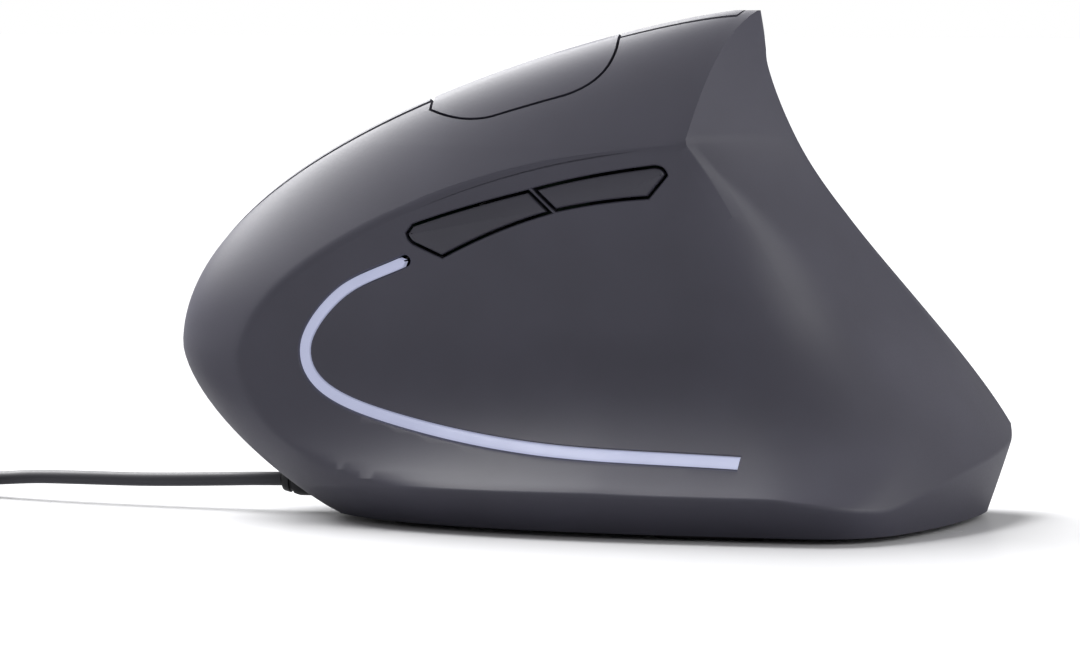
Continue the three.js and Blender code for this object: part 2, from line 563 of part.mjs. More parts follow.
function coilRing(c, grow = 0) {
  const a = c.wide / 2 + grow, z0 = c.z - grow, z1 = c.z + c.high + grow, k = 2; // k cuts the corners off
  const section = [
    [-a + k, z0], [a - k, z0], [a, z0 + k], [a, z1 - k], [a - k, z1], [-a + k, z1], [-a, z1 - k], [-a, z0 + k],
    [-a + k, z0],
  ];
  const round = turned(section.map(([x, z]) => [c.r + x, z]), 32);
  return round.rotateX(Math.PI / 2).translate(c.x, c.y, 0);
}
add("cable_coil", coilRing(COIL), LEAD);
add("coil_tie", solid(coilRing(COIL, FIT + TIE.thick)).subtract(solid(coilRing(COIL, FIT)))
  .intersect(slab(COIL.x, COIL.x + 40, COIL.y - TIE.wide / 2, COIL.y + TIE.wide / 2, -1, 30)), RUBBERY);

// The lead leaves the top of the coil at its -X side and runs along -Y into the plug.
const PLUG = {
  x: COIL.x - COIL.r - 3.15, y: -20.5, z: 4.2, mould: 20, mouldWide: 15, mouldHigh: 8,
  shell: 12, shellWide: 12, shellHigh: 4.5, sheet: 0.4, back: 1,
};
{
  const plug = new THREE.Group();
  plug.position.set(PLUG.x, PLUG.y, PLUG.z);
  plug.rotation.z = Math.PI;
  mouse.add(plug);
  const s = new THREE.Shape();
  s.moveTo(-3, 0);
  s.lineTo(3, 0);
  s.quadraticCurveTo(PLUG.mouldWide / 2, 3, PLUG.mouldWide / 2, 7);
  s.lineTo(PLUG.mouldWide / 2, PLUG.mould);
  s.lineTo(-PLUG.mouldWide / 2, PLUG.mould);
  s.lineTo(-PLUG.mouldWide / 2, 7);
  s.quadraticCurveTo(-PLUG.mouldWide / 2, 3, -3, 0);
  const edge = 0.4; // bevel round the overmould
  const mould = new THREE.ExtrudeGeometry(s, {
    depth: PLUG.mouldHigh - 2 * edge, bevelEnabled: true, bevelSize: edge, bevelThickness: edge,
    bevelOffset: -edge, bevelSegments: 1, curveSegments: 6,
  });
  add("usb_overmould", mould.translate(0, 0, -PLUG.mouldHigh / 2 + edge), LEAD, plug);
  const y0 = PLUG.mould + FIT, y1 = y0 + PLUG.shell;
  const w = PLUG.shellWide / 2, h = PLUG.shellHigh / 2, t = PLUG.sheet;
  const socket = slab(-w + t, w - t, y0 + PLUG.back, y1 + 1, -h + t, h - t);
  add("usb_shell", slab(-w, w, y0, y1, -h, h).subtract(socket), STEEL, plug);
  const from = y0 + PLUG.back + FIT, to = y1 - 1, reach = w - t - FIT;
  add("usb_tongue", slab(-reach, reach, from, to, 0.6 - 0.75, 0.6 + 0.75), WHITE, plug);
}

export default mouse;
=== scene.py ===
"""Right-handed vertical computer mouse: a hollow thumb face, a scroll wheel and a USB lead.

Pieces are worked out in millimetres and written to their meshes in metres.
"""
from math import cos, pi, radians, sin

import bmesh
import bpy
import numpy as np
from mathutils import Matrix, Vector


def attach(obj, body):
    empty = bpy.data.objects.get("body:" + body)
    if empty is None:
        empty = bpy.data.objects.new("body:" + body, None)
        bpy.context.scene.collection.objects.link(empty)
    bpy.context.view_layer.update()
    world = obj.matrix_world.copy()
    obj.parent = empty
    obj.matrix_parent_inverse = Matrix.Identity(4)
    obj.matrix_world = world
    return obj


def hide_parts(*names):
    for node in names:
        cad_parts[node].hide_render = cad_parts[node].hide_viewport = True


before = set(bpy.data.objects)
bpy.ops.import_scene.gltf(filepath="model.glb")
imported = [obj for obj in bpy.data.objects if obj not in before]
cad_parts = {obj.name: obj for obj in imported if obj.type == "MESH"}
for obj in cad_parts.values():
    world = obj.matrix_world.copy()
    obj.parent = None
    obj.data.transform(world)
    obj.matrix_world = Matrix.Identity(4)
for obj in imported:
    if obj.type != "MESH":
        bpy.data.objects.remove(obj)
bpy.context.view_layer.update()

MM = 0.001

# ---- sizes of the mouse, in millimetres ----
NOSE_X, NOSE_Z = -60.4, 25
TOP_Z, CREST_FLAT, APEX_X = 74.55, 0.15, 26
FOOT_GAP, CHIN_X = 0.8, -36
HALF_WIDTH, CREST_Y = 31.4, -6
REAR_X, WIDE_X, WIDE_FORWARD, NOSE_RUN = 60.4, 28, 26, 4
NEAR_CREASE_Z, FAR_CREASE_Z = 6.5, 12
THUMB_Y, THUMB_MID_Z = 14.6, 30
CORNER_X, CORNER_Z, CORNER_BLEND = 18.4, 56, 14
SKIRT_NEAR_Y, SKIRT_FAR_Y, SKIRT_REAR_X = 27.7, 25, 57.6
WALL, FIT, BUTTON_GAP, SEAM, PLATE_GAP, PLATE_T = 2, 0.3, 0.45, 1.2, 0.65, 2
STRIP_WIDTH = 1.5
WHEEL_R, WHEEL_W, WHEEL_DEPTH, TYRE_T, AXLE_R = 11, 7, 7.5, 2.2, 1.2
DECK_DEPTH = 13
CABLE_D = 2.1
EXIT = (-45.2, 0, 4.7)


# ---- camera, floor and light ----
def aim(obj, target):
    obj.rotation_euler = (Vector(target) - obj.location).to_track_quat("-Z", "Y").to_euler()


def set_camera():
    data = bpy.data.cameras.new("camera")
    data.lens, data.sensor_width = 182.13, 36
    data.clip_start, data.clip_end = 0.05, 20
    camera = bpy.data.objects.new("camera", data)
    bpy.context.scene.collection.objects.link(camera)
    azimuth, elevation, distance = radians(14), radians(4), 0.8
    target = Vector((-6.1, 0, 28.14)) * MM
    camera.location = target + distance * Vector((
        sin(azimuth) * cos(elevation), -cos(azimuth) * cos(elevation), sin(elevation)))
    aim(camera, target)
    bpy.context.scene.camera = camera


def softbox(name, at, target, size, power):
    data = bpy.data.lights.new(name, "AREA")
    data.shape, data.size, data.size_y = "RECTANGLE", size[0], size[1]
    data.energy = power
    light = bpy.data.objects.new(name, data)
    bpy.context.scene.collection.objects.link(light)
    light.location = at
    aim(light, target)


# ---- materials ----
def linear(hexcode):
    """An sRGB hex colour as linear RGBA."""
    channels = [int(hexcode[i:i + 2], 16) / 255 for i in (1, 3, 5)]
    return [c / 12.92 if c <= 0.04045 else ((c + 0.055) / 1.055) ** 2.4 for c in channels] + [1]


def node(tree, kind, links=(), **settings):
    """Adds a node. A setting is a property or an input's value; links are (input, source socket)."""
    made = tree.nodes.new(kind)
    for key, value in settings.items():
        if hasattr(made, key):
            setattr(made, key, value)
        else:
            made.inputs[key.replace("_", " ").title()].default_value = value
    for socket, source in links:
        tree.links.new(source, made.inputs[socket])
    return made


def blank(name):
    made = bpy.data.materials.new(name)
    made.use_nodes = True
    shader = made.node_tree.nodes["Principled BSDF"]
    return made, made.node_tree, shader


def tinted(tree, source, dark, light, start=0, end=1):
    """A colour that passes from dark to light as the source passes from start to end."""
    ramp = node(tree, "ShaderNodeValToRGB", [("Fac", source)])
    for stop, place, colour in zip(ramp.color_ramp.elements, (start, end), (dark, light)):
        stop.position, stop.color = place, linear(colour)
    return ramp.outputs["Color"]


def spread(tree, source, low, high):
    """The source's 0 to 1 spread over low to high."""
    made = node(tree, "ShaderNodeMapRange", [("Value", source)])
    made.inputs["To Min"].default_value, made.inputs["To Max"].default_value = low, high
    return made.outputs["Result"]


def moulded(name, dark, light, rough, grain_mm, depth_mm, ior=1.5, rough_swing=0.06, drift_mm=14, **shader):
    """A moulded surface: slow colour drift, and a fine grain that also varies the roughness."""
    made, tree, bsdf = blank(name)
    where = node(tree, "ShaderNodeTexCoord").outputs["Object"]
    drift = node(tree, "ShaderNodeTexNoise", [("Vector", where)], scale=1 / (drift_mm * MM), detail=3)
    colour = tinted(tree, drift.outputs["Fac"], dark, light, 0.3, 0.7)
    grain = node(tree, "ShaderNodeTexNoise", [("Vector", where)], scale=1 / (grain_mm * MM), detail=2)
    roughness = spread(tree, grain.outputs["Fac"], rough - rough_swing, rough + rough_swing)
    height = [("Height", grain.outputs["Fac"])]
    bump = node(tree, "ShaderNodeBump", height, strength=1, distance=depth_mm * MM)
    tree.links.new(colour, bsdf.inputs["Base Color"])
    tree.links.new(roughness, bsdf.inputs["Roughness"])
    tree.links.new(bump.outputs["Normal"], bsdf.inputs["Normal"])
    bsdf.inputs["IOR"].default_value = ior
    for key, value in shader.items():
        bsdf.inputs[key.replace("_", " ")].default_value = value
    return made


# Spark-eroded ABS: charcoal, satin, with a grain that is drawn at 0.3 mm so that it shows.
SHELL = moulded("abs_spark_eroded_charcoal", "#4d4c58", "#52515e", 0.47, 0.3, 0.006, 1.54)
# The thumb buttons are the same ABS, a little darker and smoother.
BUTTON = moulded("abs_satin_dark", "#46454f", "#4a4954", 0.42, 0.25, 0.004, 1.54)
BASE = moulded("abs_matt_black", "#222226", "#28282c", 0.6, 0.4, 0.01, 1.54)
# Skived PTFE: waxy and dark, with a faint grain.
GLIDE = moulded("ptfe_skived_dark", "#2a2a2d", "#323236", 0.38, 0.8, 0.004, 1.38)
TYRE = moulded("rubber_moulded_black", "#1d1d20", "#242428", 0.68, 0.35, 0.012, 1.52)
GLOSS = moulded("abs_polished_black", "#18181b", "#1b1b1f", 0.18, 1.2, 0.001, 1.54, 0.03)
LEAD = moulded("pvc_extruded_grey", "#434348", "#4a4a50", 0.52, 0.5, 0.005, 1.53)
RELIEF = moulded("pvc_moulded_black", "#1e1e21", "#242427", 0.5, 0.4, 0.006, 1.53)
NYLON = moulded("nylon_moulded_white", "#d9d6cd", "#e2dfd7", 0.45, 0.4, 0.004, 1.53, Subsurface_Weight=0.1)
CHIP = moulded("epoxy_moulded_black", "#1a1a1b", "#222223", 0.55, 0.2, 0.006, 1.55)
BOARD = moulded("solder_mask_green", "#1c4a2c", "#245a36", 0.35, 0.6, 0.008, 1.5, drift_mm=3)
STRAP = moulded("pvc_tie_black", "#202023", "#29292c", 0.55, 0.4, 0.006, 1.53)


def plated_steel():
    """Nickel-plated sheet: bright, with fine rolling lines along the sheet."""
    made, tree, bsdf = blank("steel_nickel_plated")
    where = node(tree, "ShaderNodeTexCoord").outputs["Object"]
    drawn_out = node(tree, "ShaderNodeMapping", [("Vector", where)])
    drawn_out.inputs["Scale"].default_value = (1, 0.06, 1)
    stretched = [("Vector", drawn_out.outputs["Vector"])]
    lines = node(tree, "ShaderNodeTexNoise", stretched, scale=1 / (0.15 * MM), detail=3)
    roughness = spread(tree, lines.outputs["Fac"], 0.2, 0.36)
    bump = node(tree, "ShaderNodeBump", [("Height", lines.outputs["Fac"])], strength=0.6, distance=0.002 * MM)
    bsdf.inputs["Base Color"].default_value = linear("#c9c7c2")
    bsdf.inputs["Metallic"].default_value = 1
    tree.links.new(roughness, bsdf.inputs["Roughness"])
    tree.links.new(bump.outputs["Normal"], bsdf.inputs["Normal"])
    return made


def frosted_light_pipe():
    """Frosted acrylic lit from behind: an even cool glow, with a little cloudiness along it."""
    made, tree, bsdf = blank("acrylic_frosted_lit")
    where = node(tree, "ShaderNodeTexCoord").outputs["Object"]
    cloud = node(tree, "ShaderNodeTexNoise", [("Vector", where)], scale=1 / (6 * MM), detail=2)
    colour = tinted(tree, cloud.outputs["Fac"], "#8d91a8", "#9ca0b6")
    tree.links.new(colour, bsdf.inputs["Base Color"])
    tree.links.new(colour, bsdf.inputs["Emission Color"])
    bsdf.inputs["Emission Strength"].default_value = 1.0
    bsdf.inputs["Roughness"].default_value = 0.35
    bsdf.inputs["IOR"].default_value = 1.49
    return made


def clear_acrylic():
    """Polished clear acrylic, faintly smoky."""
    made, tree, bsdf = blank("acrylic_clear")
    where = node(tree, "ShaderNodeTexCoord").outputs["Object"]
    haze = node(tree, "ShaderNodeTexNoise", [("Vector", where)], scale=1 / (2 * MM))
    tree.links.new(spread(tree, haze.outputs["Fac"], 0.04, 0.12), bsdf.inputs["Roughness"])
    bsdf.inputs["Base Color"].default_value = linear("#dfe6ea")
    bsdf.inputs["Transmission Weight"].default_value = 0.9
    bsdf.inputs["IOR"].default_value = 1.49
    return made


STEEL, GLOW, CLEAR = plated_steel(), frosted_light_pipe(), clear_acrylic()


# ---- making pieces ----
def shape(bm):
    """A scratch object, in millimetres, from a bmesh."""
    mesh = bpy.data.meshes.new("shape")
    bm.to_mesh(mesh)
    bm.free()
    obj = bpy.data.objects.new("shape", mesh)
    bpy.context.scene.collection.objects.link(obj)
    return obj


def applied(obj):
    """obj with its modifiers made part of its mesh."""
    view = bpy.context.evaluated_depsgraph_get()
    mesh = bpy.data.meshes.new_from_object(obj.evaluated_get(view))
    obj.modifiers.clear()
    old, obj.data = obj.data, mesh
    bpy.data.meshes.remove(old)
    return obj


def copy_of(obj):
    made = obj.copy()
    made.data = obj.data.copy()
    bpy.context.scene.collection.objects.link(made)
    return made


def combine(obj, other, operation, keep=False):
    boolean = obj.modifiers.new("combine", "BOOLEAN")
    boolean.operation, boolean.object, boolean.solver = operation, other, "MANIFOLD"
    applied(obj)
    if not keep:
        bpy.data.objects.remove(other)
    return obj


def less(obj, other):
    return combine(obj, other, "DIFFERENCE")


def shared(obj, other, keep=False):
    return combine(obj, other, "INTERSECT", keep)


def joined(obj, other):
    return combine(obj, other, "UNION")


def finished(obj, name, material, body, nodes, smooth=32):
    """Scales a shape to metres, smooths it, and sets it on its body in place of its CAD nodes."""
    obj.name = obj.data.name = name
    obj.data.transform(Matrix.Scale(MM, 4))
    obj.data.materials.clear()
    obj.data.materials.append(material)
    obj.data.shade_smooth()
    obj.data.set_sharp_from_angle(angle=radians(smooth))
    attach(obj, body)
    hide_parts(*nodes)
    return obj


def weld(bm, distance=0.002):
    bmesh.ops.remove_doubles(bm, verts=bm.verts, dist=distance)
    bmesh.ops.holes_fill(bm, edges=[e for e in bm.edges if e.is_boundary], sides=0)
    bmesh.ops.recalc_face_normals(bm, faces=bm.faces)


def box(low, high, matrix=Matrix.Identity(4)):
    bm = bmesh.new()
    bmesh.ops.create_cube(bm, size=1)
    size, middle = Vector(high) - Vector(low), (Vector(high) + Vector(low)) / 2
    bmesh.ops.scale(bm, vec=size, verts=bm.verts)
    bmesh.ops.translate(bm, vec=middle, verts=bm.verts)
    bmesh.ops.transform(bm, matrix=matrix, verts=bm.verts)
    return shape(bm)


def turned(profile, steps, matrix=Matrix.Identity(4)):
    """A closed profile of (radius, height) spun about local Z."""
    bm = bmesh.new()
    ring = [bm.verts.new((r, 0, z)) for r, z in profile]
    edges = [bm.edges.new((ring[i], ring[(i + 1) % len(ring)])) for i in range(len(ring))]
    bmesh.ops.spin(bm, geom=ring + edges, cent=(0, 0, 0), axis=(0, 0, 1), dvec=(0, 0, 0),
                   angle=2 * pi, steps=steps, use_merge=True)
    bmesh.ops.remove_doubles(bm, verts=bm.verts, dist=0.0005)
    bmesh.ops.recalc_face_normals(bm, faces=bm.faces)
    bmesh.ops.transform(bm, matrix=matrix, verts=bm.verts)
    return bm


def rod(radius, z0, z1, matrix=Matrix.Identity(4), steps=32):
    return shape(turned([(0, z0), (radius, z0), (radius, z1), (0, z1)], steps, matrix))


def stack(rings):
    """A solid through rings of points with the same count: a first face, extruded once for each ring."""
    bm = bmesh.new()
    place = bm.verts.layers.int.new("place")
    corners = [bm.verts.new(p) for p in rings[0]]
    for i, corner in enumerate(corners):
        corner[place] = i
    face = bm.faces.new(corners)
    for ring in rings[1:]:
        made = bmesh.ops.extrude_face_region(bm, geom=[face])["geom"]
        face = next(g for g in made if isinstance(g, bmesh.types.BMFace))
        for corner in face.verts:
            corner.co = ring[corner[place]]
    walls_inside = [f for f in bm.faces if all(len(e.link_faces) > 2 for e in f.edges)]
    bmesh.ops.delete(bm, geom=walls_inside, context="FACES_ONLY")
    weld(bm)
    return shape(bm)


def extruded(outline, z0, z1, matrix):
    """A flat outline in local x and y, raised from z0 to z1."""
    bm = bmesh.new()
    face = bm.faces.new([bm.verts.new((x, y, z0)) for x, y in outline])
    made = bmesh.ops.extrude_face_region(bm, geom=[face])["geom"]
    raised = [g for g in made if isinstance(g, bmesh.types.BMVert)]
    bmesh.ops.translate(bm, vec=(0, 0, z1 - z0), verts=raised)
    weld(bm)
    bmesh.ops.transform(bm, matrix=matrix, verts=bm.verts)
    return shape(bm)


def between(a, b, c, d, t):
    """The point at share t from b to c, on a Catmull-Rom line through four points."""
    return 0.5 * ((2 * b) + (c - a) * t + (2 * a - 5 * b + 4 * c - d) * t * t
                  + (3 * b - a - 3 * c + d) * t ** 3)


# ---- the outer form ----
def clamp(t):
    return np.clip(t, 0, 1)


def ease(t):
    t = clamp(t)
    return t * t * (3 - 2 * t)


def soft_max(a, b, r):
    return np.maximum(a, b) + np.maximum(r - np.abs(a - b), 0) ** 2 / (4 * r)


def front_x(z):
    """Foremost point at height z: the crest above the nose, the chin below it."""
    up = 1 - (1 - clamp((z - NOSE_Z) / (TOP_Z - NOSE_Z)) ** 2) ** (1 / 1.28)
    down = 1 - (1 - clamp((NOSE_Z - z) / (NOSE_Z - FOOT_GAP)) ** 1.6) ** (1 / 1.12)
    return NOSE_X + np.where(z >= NOSE_Z, (APEX_X - NOSE_X) * up, (CHIN_X - NOSE_X) * down)


def crest_y(z):
    return CREST_Y * ease((z - 30) / 38)


def band_half(z):
    return -CREST_Y + (HALF_WIDTH + CREST_Y) * (np.maximum(TOP_Z - z, 0) / (TOP_Z - NEAR_CREASE_Z)) ** 0.72


def finger_half(z):
    return CREST_Y + (HALF_WIDTH - CREST_Y) * (1 - (1 - clamp((TOP_Z - z) / (TOP_Z - FAR_CREASE_Z))) ** 1.4)


def flanks(x, y, z):
    """Nose, band and finger face: below zero inside."""
    front, crest = front_x(z), crest_y(z)
    power = 1 / (0.5 + 0.25 * ease((z - 30) / 30))
    u = np.maximum((WIDE_X - x) / (WIDE_X - front), 0)
    band = (np.maximum(crest - y, 0) / np.maximum(band_half(z) + crest, 0.05)) ** power + u ** 2.4 - 1
    across = np.maximum(y - crest, 0) / np.maximum(finger_half(z) - crest, 0.05)
    widest = soft_max(WIDE_X - WIDE_FORWARD * ease((z - 10) / 45), front + NOSE_RUN, 6)
    ahead = across ** power + (np.maximum(widest - x, 0) / (widest - front)) ** 2.2 - 1
    fall = 0.4 + 1.4 * (np.maximum(z - 10, 0) / 50) ** 1.5
    behind = across + fall * ((x - widest) / 60) ** 2 - 1
    return np.where(y < crest, band, np.where(x < widest, ahead, behind))


def thumb(x, y, z):
    """The hollow thumb face."""
    foot = 15.9 * (1 - clamp((10 - x) / 60) ** 1.4) + 0.9
    low = (np.maximum(THUMB_MID_Z - z, 0) / (THUMB_MID_Z - NEAR_CREASE_Z)) ** 2.2
    high = (np.maximum(z - THUMB_MID_Z, 0) / 25) ** 2
    return -(THUMB_Y + foot * low + 1.6 * high) - y


def rear(x, y, z):
    """The facet at the heel of the hand."""
    below = np.maximum(CORNER_Z - z, 0)
    corner_x = CORNER_X + 0.72 * below - 0.0042 * below ** 2
    corner_y = -17 - 12.8 * (below / 50) ** 2
    t = (TOP_Z - z) / (TOP_Z - 10.7)
    edge_x = 28 + (REAR_X - 28) * np.maximum(t, 0) ** 2.2 * (2.1 - 1.1 * t)
    edge_y = CREST_Y + 34 * t
    s = (y - corner_y) / (edge_y - corner_y)
    bulge = 1 + 1.8 * (1 - ease((z - 6) / 26))
    across = np.where(s < 0, bulge * s, np.where(s > 1, 1 + 0.2 * (s - 1), 1 - (1 - clamp(s)) ** bulge))
    return (x - (corner_x + (edge_x - corner_x) * across)) / 1.12


def thumb_side(x, y, z):
    blend = (CORNER_BLEND - 5 * (1 - ease((z - 4) / 14))) * ease((58 - z) / 24) + 0.01
    return np.maximum(soft_max(thumb(x, y, z), rear(x, y, z), blend), np.maximum(-80 - x, y - 60))


def skirt(x, y, z):
    """The skirt under the creases, narrowing to the underside."""
    h = z - FOOT_GAP
    half = np.where(y < 0, SKIRT_NEAR_Y + 0.63 * h, SKIRT_FAR_Y + 0.62 * h)
    u = np.maximum((WIDE_X - x) / (WIDE_X - (CHIN_X - 1 - 1.7 * h)), 0)
    side = ((y / half) ** 2 + u ** 2.4 - 1) * half / 2
    back = (x - (SKIRT_REAR_X - 0.0055 * (y - 16) ** 2 + 0.28 * h)) / 1.04
    return soft_max(side, back, 9)


def upper(x, y, z):
    return np.maximum(flanks(x, y, z), thumb_side(x, y, z))


def whole(x, y, z):
    return np.maximum(upper(x, y, z), skirt(x, y, z))


HALVINGS = 28  # brings a search over 120 mm within a nanometre
OUTSIDE = 120.0


def reach(face, ax, ay, angle, z):
    """How far the skin lies from (ax, ay) at each angle and height."""
    size = np.broadcast(angle, z).shape
    near, far = np.zeros(size), np.full(size, OUTSIDE)
    for _ in range(HALVINGS):
        middle = (near + far) / 2
        inside = face(ax + middle * np.cos(angle), ay + middle * np.sin(angle), z) < 0
        near, far = np.where(inside, middle, near), np.where(inside, far, middle)
    return near


CREST_Z, CAVITY_TOP = TOP_Z - CREST_FLAT, TOP_Z - 6
# Columns of the mesh on each face between its creases: band, thumb face, rear facet, finger face.
FACE_COLUMNS = (34, 66, 50, 88)
SKIRT_ROWS, UPPER_ROWS = 4, 84
LEVEL_ROWS_Z = 48  # rows follow the skirt's crease at the foot, and are level above this height
RIDGE_LOW = 10  # under this height the ridge runs along the foot, and its column of points goes straight down
CREASE_CLEAR = 1.8  # no column of points runs nearer to a crease than this, so that it can be rounded


def sheet_above_creases(levels):
    """Plan outlines of the upper faces, with a column of points on every crease: x, y by level and column."""
    z = levels[:, None]
    ax, ay = (front_x(z) + WIDE_X) / 2, crest_y(z)
    angle = np.linspace(pi, 3 * pi, 1201)[None, :]
    r = reach(upper, ax, ay, angle, z)
    x, y = ax + r * np.cos(angle), ay + r * np.sin(angle)

    def crossing(face_a, face_b, start, step):
        """The angle where the skin passes from face_a to face_b, from a bracket of two samples."""
        low = angle[0, start][:, None]
        high = low + step
        for _ in range(22):
            middle = (low + high) / 2
            far = reach(upper, ax, ay, middle, z)
            px, py = ax + far * np.cos(middle), ay + far * np.sin(middle)
            on_a = face_a(px, py, z) > face_b(px, py, z)
            low, high = np.where(on_a, middle, low), np.where(on_a, high, middle)
        return (low + high)[:, 0] / 2

    step = angle[0, 1] - angle[0, 0]
    on_thumb_side = flanks(x, y, z) < thumb_side(x, y, z)
    first = np.argmax(on_thumb_side, 1) - 1
    last = on_thumb_side.shape[1] - 1 - np.argmax(on_thumb_side[:, ::-1], 1)
    ridge = crossing(flanks, thumb_side, first, step)
    ridge[levels < RIDGE_LOW] = ridge[levels >= RIDGE_LOW][0]
    edge = crossing(thumb_side, flanks, last, step)
    on_rear = (rear(x, y, z) > thumb(x, y, z)) & (angle >= ridge[:, None])
    corner = crossing(thumb, rear, np.maximum(np.argmax(on_rear, 1) - 1, 0), step)
    corner = np.maximum(corner, ridge)
    run = np.concatenate([np.zeros((len(levels), 1)), np.cumsum(np.hypot(np.diff(x), np.diff(y)), 1)], 1)
    columns = []
    for i in range(len(levels)):
        stops = [pi, ridge[i], corner[i], edge[i], 3 * pi]
        lengths = np.interp(stops, angle[0], run[i])
        at = []
        for a, b, n in zip(lengths, lengths[1:], FACE_COLUMNS):
            clear = min(CREASE_CLEAR, (b - a) / 5)
            at += [a, *np.linspace(a + clear, b - clear, n - 1)]
        at = np.array(at + [lengths[4]])
        spots = np.interp(at, run[i], angle[0])
        spots[np.cumsum((0,) + FACE_COLUMNS)] = stops
        columns.append(spots)
    angle = np.array(columns)
    r = reach(upper, ax, ay, angle, z)
    return ax + r * np.cos(angle), ay + r * np.sin(angle)


def lerp_columns(at, levels, values):
    """values by level and column, read at a height for each row and column."""
    return np.stack([np.interp(at[:, j], levels, values[:, j]) for j in range(values.shape[1])], 1)


def body_points():
    """Rows and columns of the whole skin, with rows on the skirt crease."""
    share = np.linspace(0, 1, 170)
    levels = FOOT_GAP + (CREST_Z - FOOT_GAP) * (1 - (1 - share) ** 1.6)
    x, y = sheet_above_creases(levels)
    over = skirt(x, y, levels[:, None]) > 0
    over[levels > 24] = False
    top = over.shape[0] - 1 - np.argmax(over[::-1], 0)
    crease = np.full(x.shape[1], FOOT_GAP + 0.02)
    for j in range(x.shape[1]):
        if over[:, j].any():
            k = top[j]
            a, b = (float(skirt(x[i, j], y[i, j], levels[i])) for i in (k, k + 1))
            crease[j] = max(levels[k] + (levels[k + 1] - levels[k]) * a / (a - b), crease[j])
    t = np.linspace(0, 1, UPPER_ROWS + 1)[:, None]
    level = NEAR_CREASE_Z + (CREST_Z - NEAR_CREASE_Z) * (1 - (1 - t) ** 1.5)
    z_up = level + (crease - NEAR_CREASE_Z) * ease((LEVEL_ROWS_Z - level) / (LEVEL_ROWS_Z - NEAR_CREASE_Z))
    x_up, y_up = lerp_columns(z_up, levels, x), lerp_columns(z_up, levels, y)
    # Where the thumb face runs out under the crest, its columns close up to one.
    ridge, corner = FACE_COLUMNS[0], sum(FACE_COLUMNS[:2])
    shut = np.hypot(x_up[:, corner] - x_up[:, ridge], y_up[:, corner] - y_up[:, ridge]) < 0.8
    for p in (x_up, y_up):
        p[shut, ridge:corner] = p[shut, corner:corner + 1]
    t = np.linspace(0, 1, SKIRT_ROWS, endpoint=False)[:, None]
    z_low = FOOT_GAP + (crease - FOOT_GAP) * t
    angle = np.arctan2(y_up[0], x_up[0] - 8) + 0 * t
    r = np.minimum(reach(skirt, 8, 0, angle, z_low), reach(upper, 8, 0, angle, z_low))
    x_low, y_low = 8 + r * np.cos(angle), r * np.sin(angle)
    return np.stack([np.vstack(p) for p in ((x_low, x_up), (y_low, y_up), (z_low, z_up))], 2)


def skin_grid(points):
    """A closed skin over rows and columns of points. Tags each vertex with its row and column."""
    rows, columns = points.shape[0] - 1, points.shape[1] - 1
    bm = bmesh.new()
    row, column = bm.verts.layers.int.new("row"), bm.verts.layers.int.new("column")
    bmesh.ops.create_grid(bm, x_segments=columns, y_segments=rows, size=1)
    for v in bm.verts:
        v[column], v[row] = round((v.co.x + 1) / 2 * columns), round((v.co.y + 1) / 2 * rows)
        v.co = points[v[row], v[column]]
    return bm


CREASE_LINES = {FACE_COLUMNS[0]: "ridge", sum(FACE_COLUMNS[:2]): "corner", sum(FACE_COLUMNS[:3]): "edge"}
# Radii of the moulded edges, as shares of the largest.
EDGE_ROUND = 0.8
ROUNDING = {"ridge": 1, "corner": 0.3, "edge": 0.45, "skirt": 0.6}


def body_form():
    bm = skin_grid(body_points())
    weld(bm)
    row, column = bm.verts.layers.int["row"], bm.verts.layers.int["column"]
    weight = bm.edges.layers.float.new("bevel_weight_edge")
    for e in bm.edges:
        a, b = e.verts
        if not e.is_manifold or e.calc_face_angle() < radians(11):
            continue
        lines = {CREASE_LINES.get(v[column]) for v in e.verts}
        if a[row] == b[row] == SKIRT_ROWS:
            kind = "skirt"
        elif min(a[row], b[row]) >= SKIRT_ROWS and lines & {"ridge", "corner"} and None not in lines:
            kind = "ridge" if max(a.co.z, b.co.z) < CORNER_Z - 1 and "ridge" in lines else "corner"
        elif lines == {"edge"}:
            kind = "edge"
        else:
            continue
        fade = float(ease((e.calc_face_angle() - radians(8)) / radians(20)))
        along = column if kind == "skirt" else row
        room = min(n.calc_length() for v in e.verts for n in v.link_edges
                   if n is not e and n.other_vert(v)[along] == v[along])
        e[weight] = min(ROUNDING[kind] * fade, 0.42 * room / EDGE_ROUND)
    body = shape(bm)
    rounding = body.modifiers.new("rounding", "BEVEL")
    rounding.limit_method, rounding.width, rounding.segments = "WEIGHT", EDGE_ROUND, 4
    rounding.profile, rounding.use_clamp_overlap, rounding.material = 0.5, False, -1
    return applied(body)


def inner_form(inset, top=CAVITY_TOP, columns=150, rows=44):
    """The same form moved in by a wall, for the cavity and what fits in it."""
    squeeze = (TOP_Z - NOSE_Z) / (TOP_Z - 1.1 * inset - NOSE_Z)
    t = np.linspace(0, 1, rows + 1)[:, None]
    z = FOOT_GAP - 2 + (top - FOOT_GAP + 2) * (1 - (1 - t) ** 1.25)
    level = NOSE_Z + (z - NOSE_Z) * squeeze
    ax, ay = (front_x(level) + WIDE_X) / 2, crest_y(level)
    angle = np.linspace(-pi, pi, columns + 1)[None, :] + 0 * t
    # Along a ray the wall is a little longer than it is thick, more so on the faces that lean further.
    on_flanks = reach(flanks, ax, ay, angle, level) - 1.2 * inset
    on_others = np.minimum(reach(thumb_side, ax, ay, angle, z), reach(skirt, ax, ay, angle, z)) - 1.3 * inset
    r = np.maximum(np.minimum(on_flanks, on_others), 0.3)
    points = np.stack([ax + r * np.cos(angle), ay + r * np.sin(angle), z + 0 * angle], 2)
    bm = skin_grid(points)
    weld(bm)
    return shape(bm)


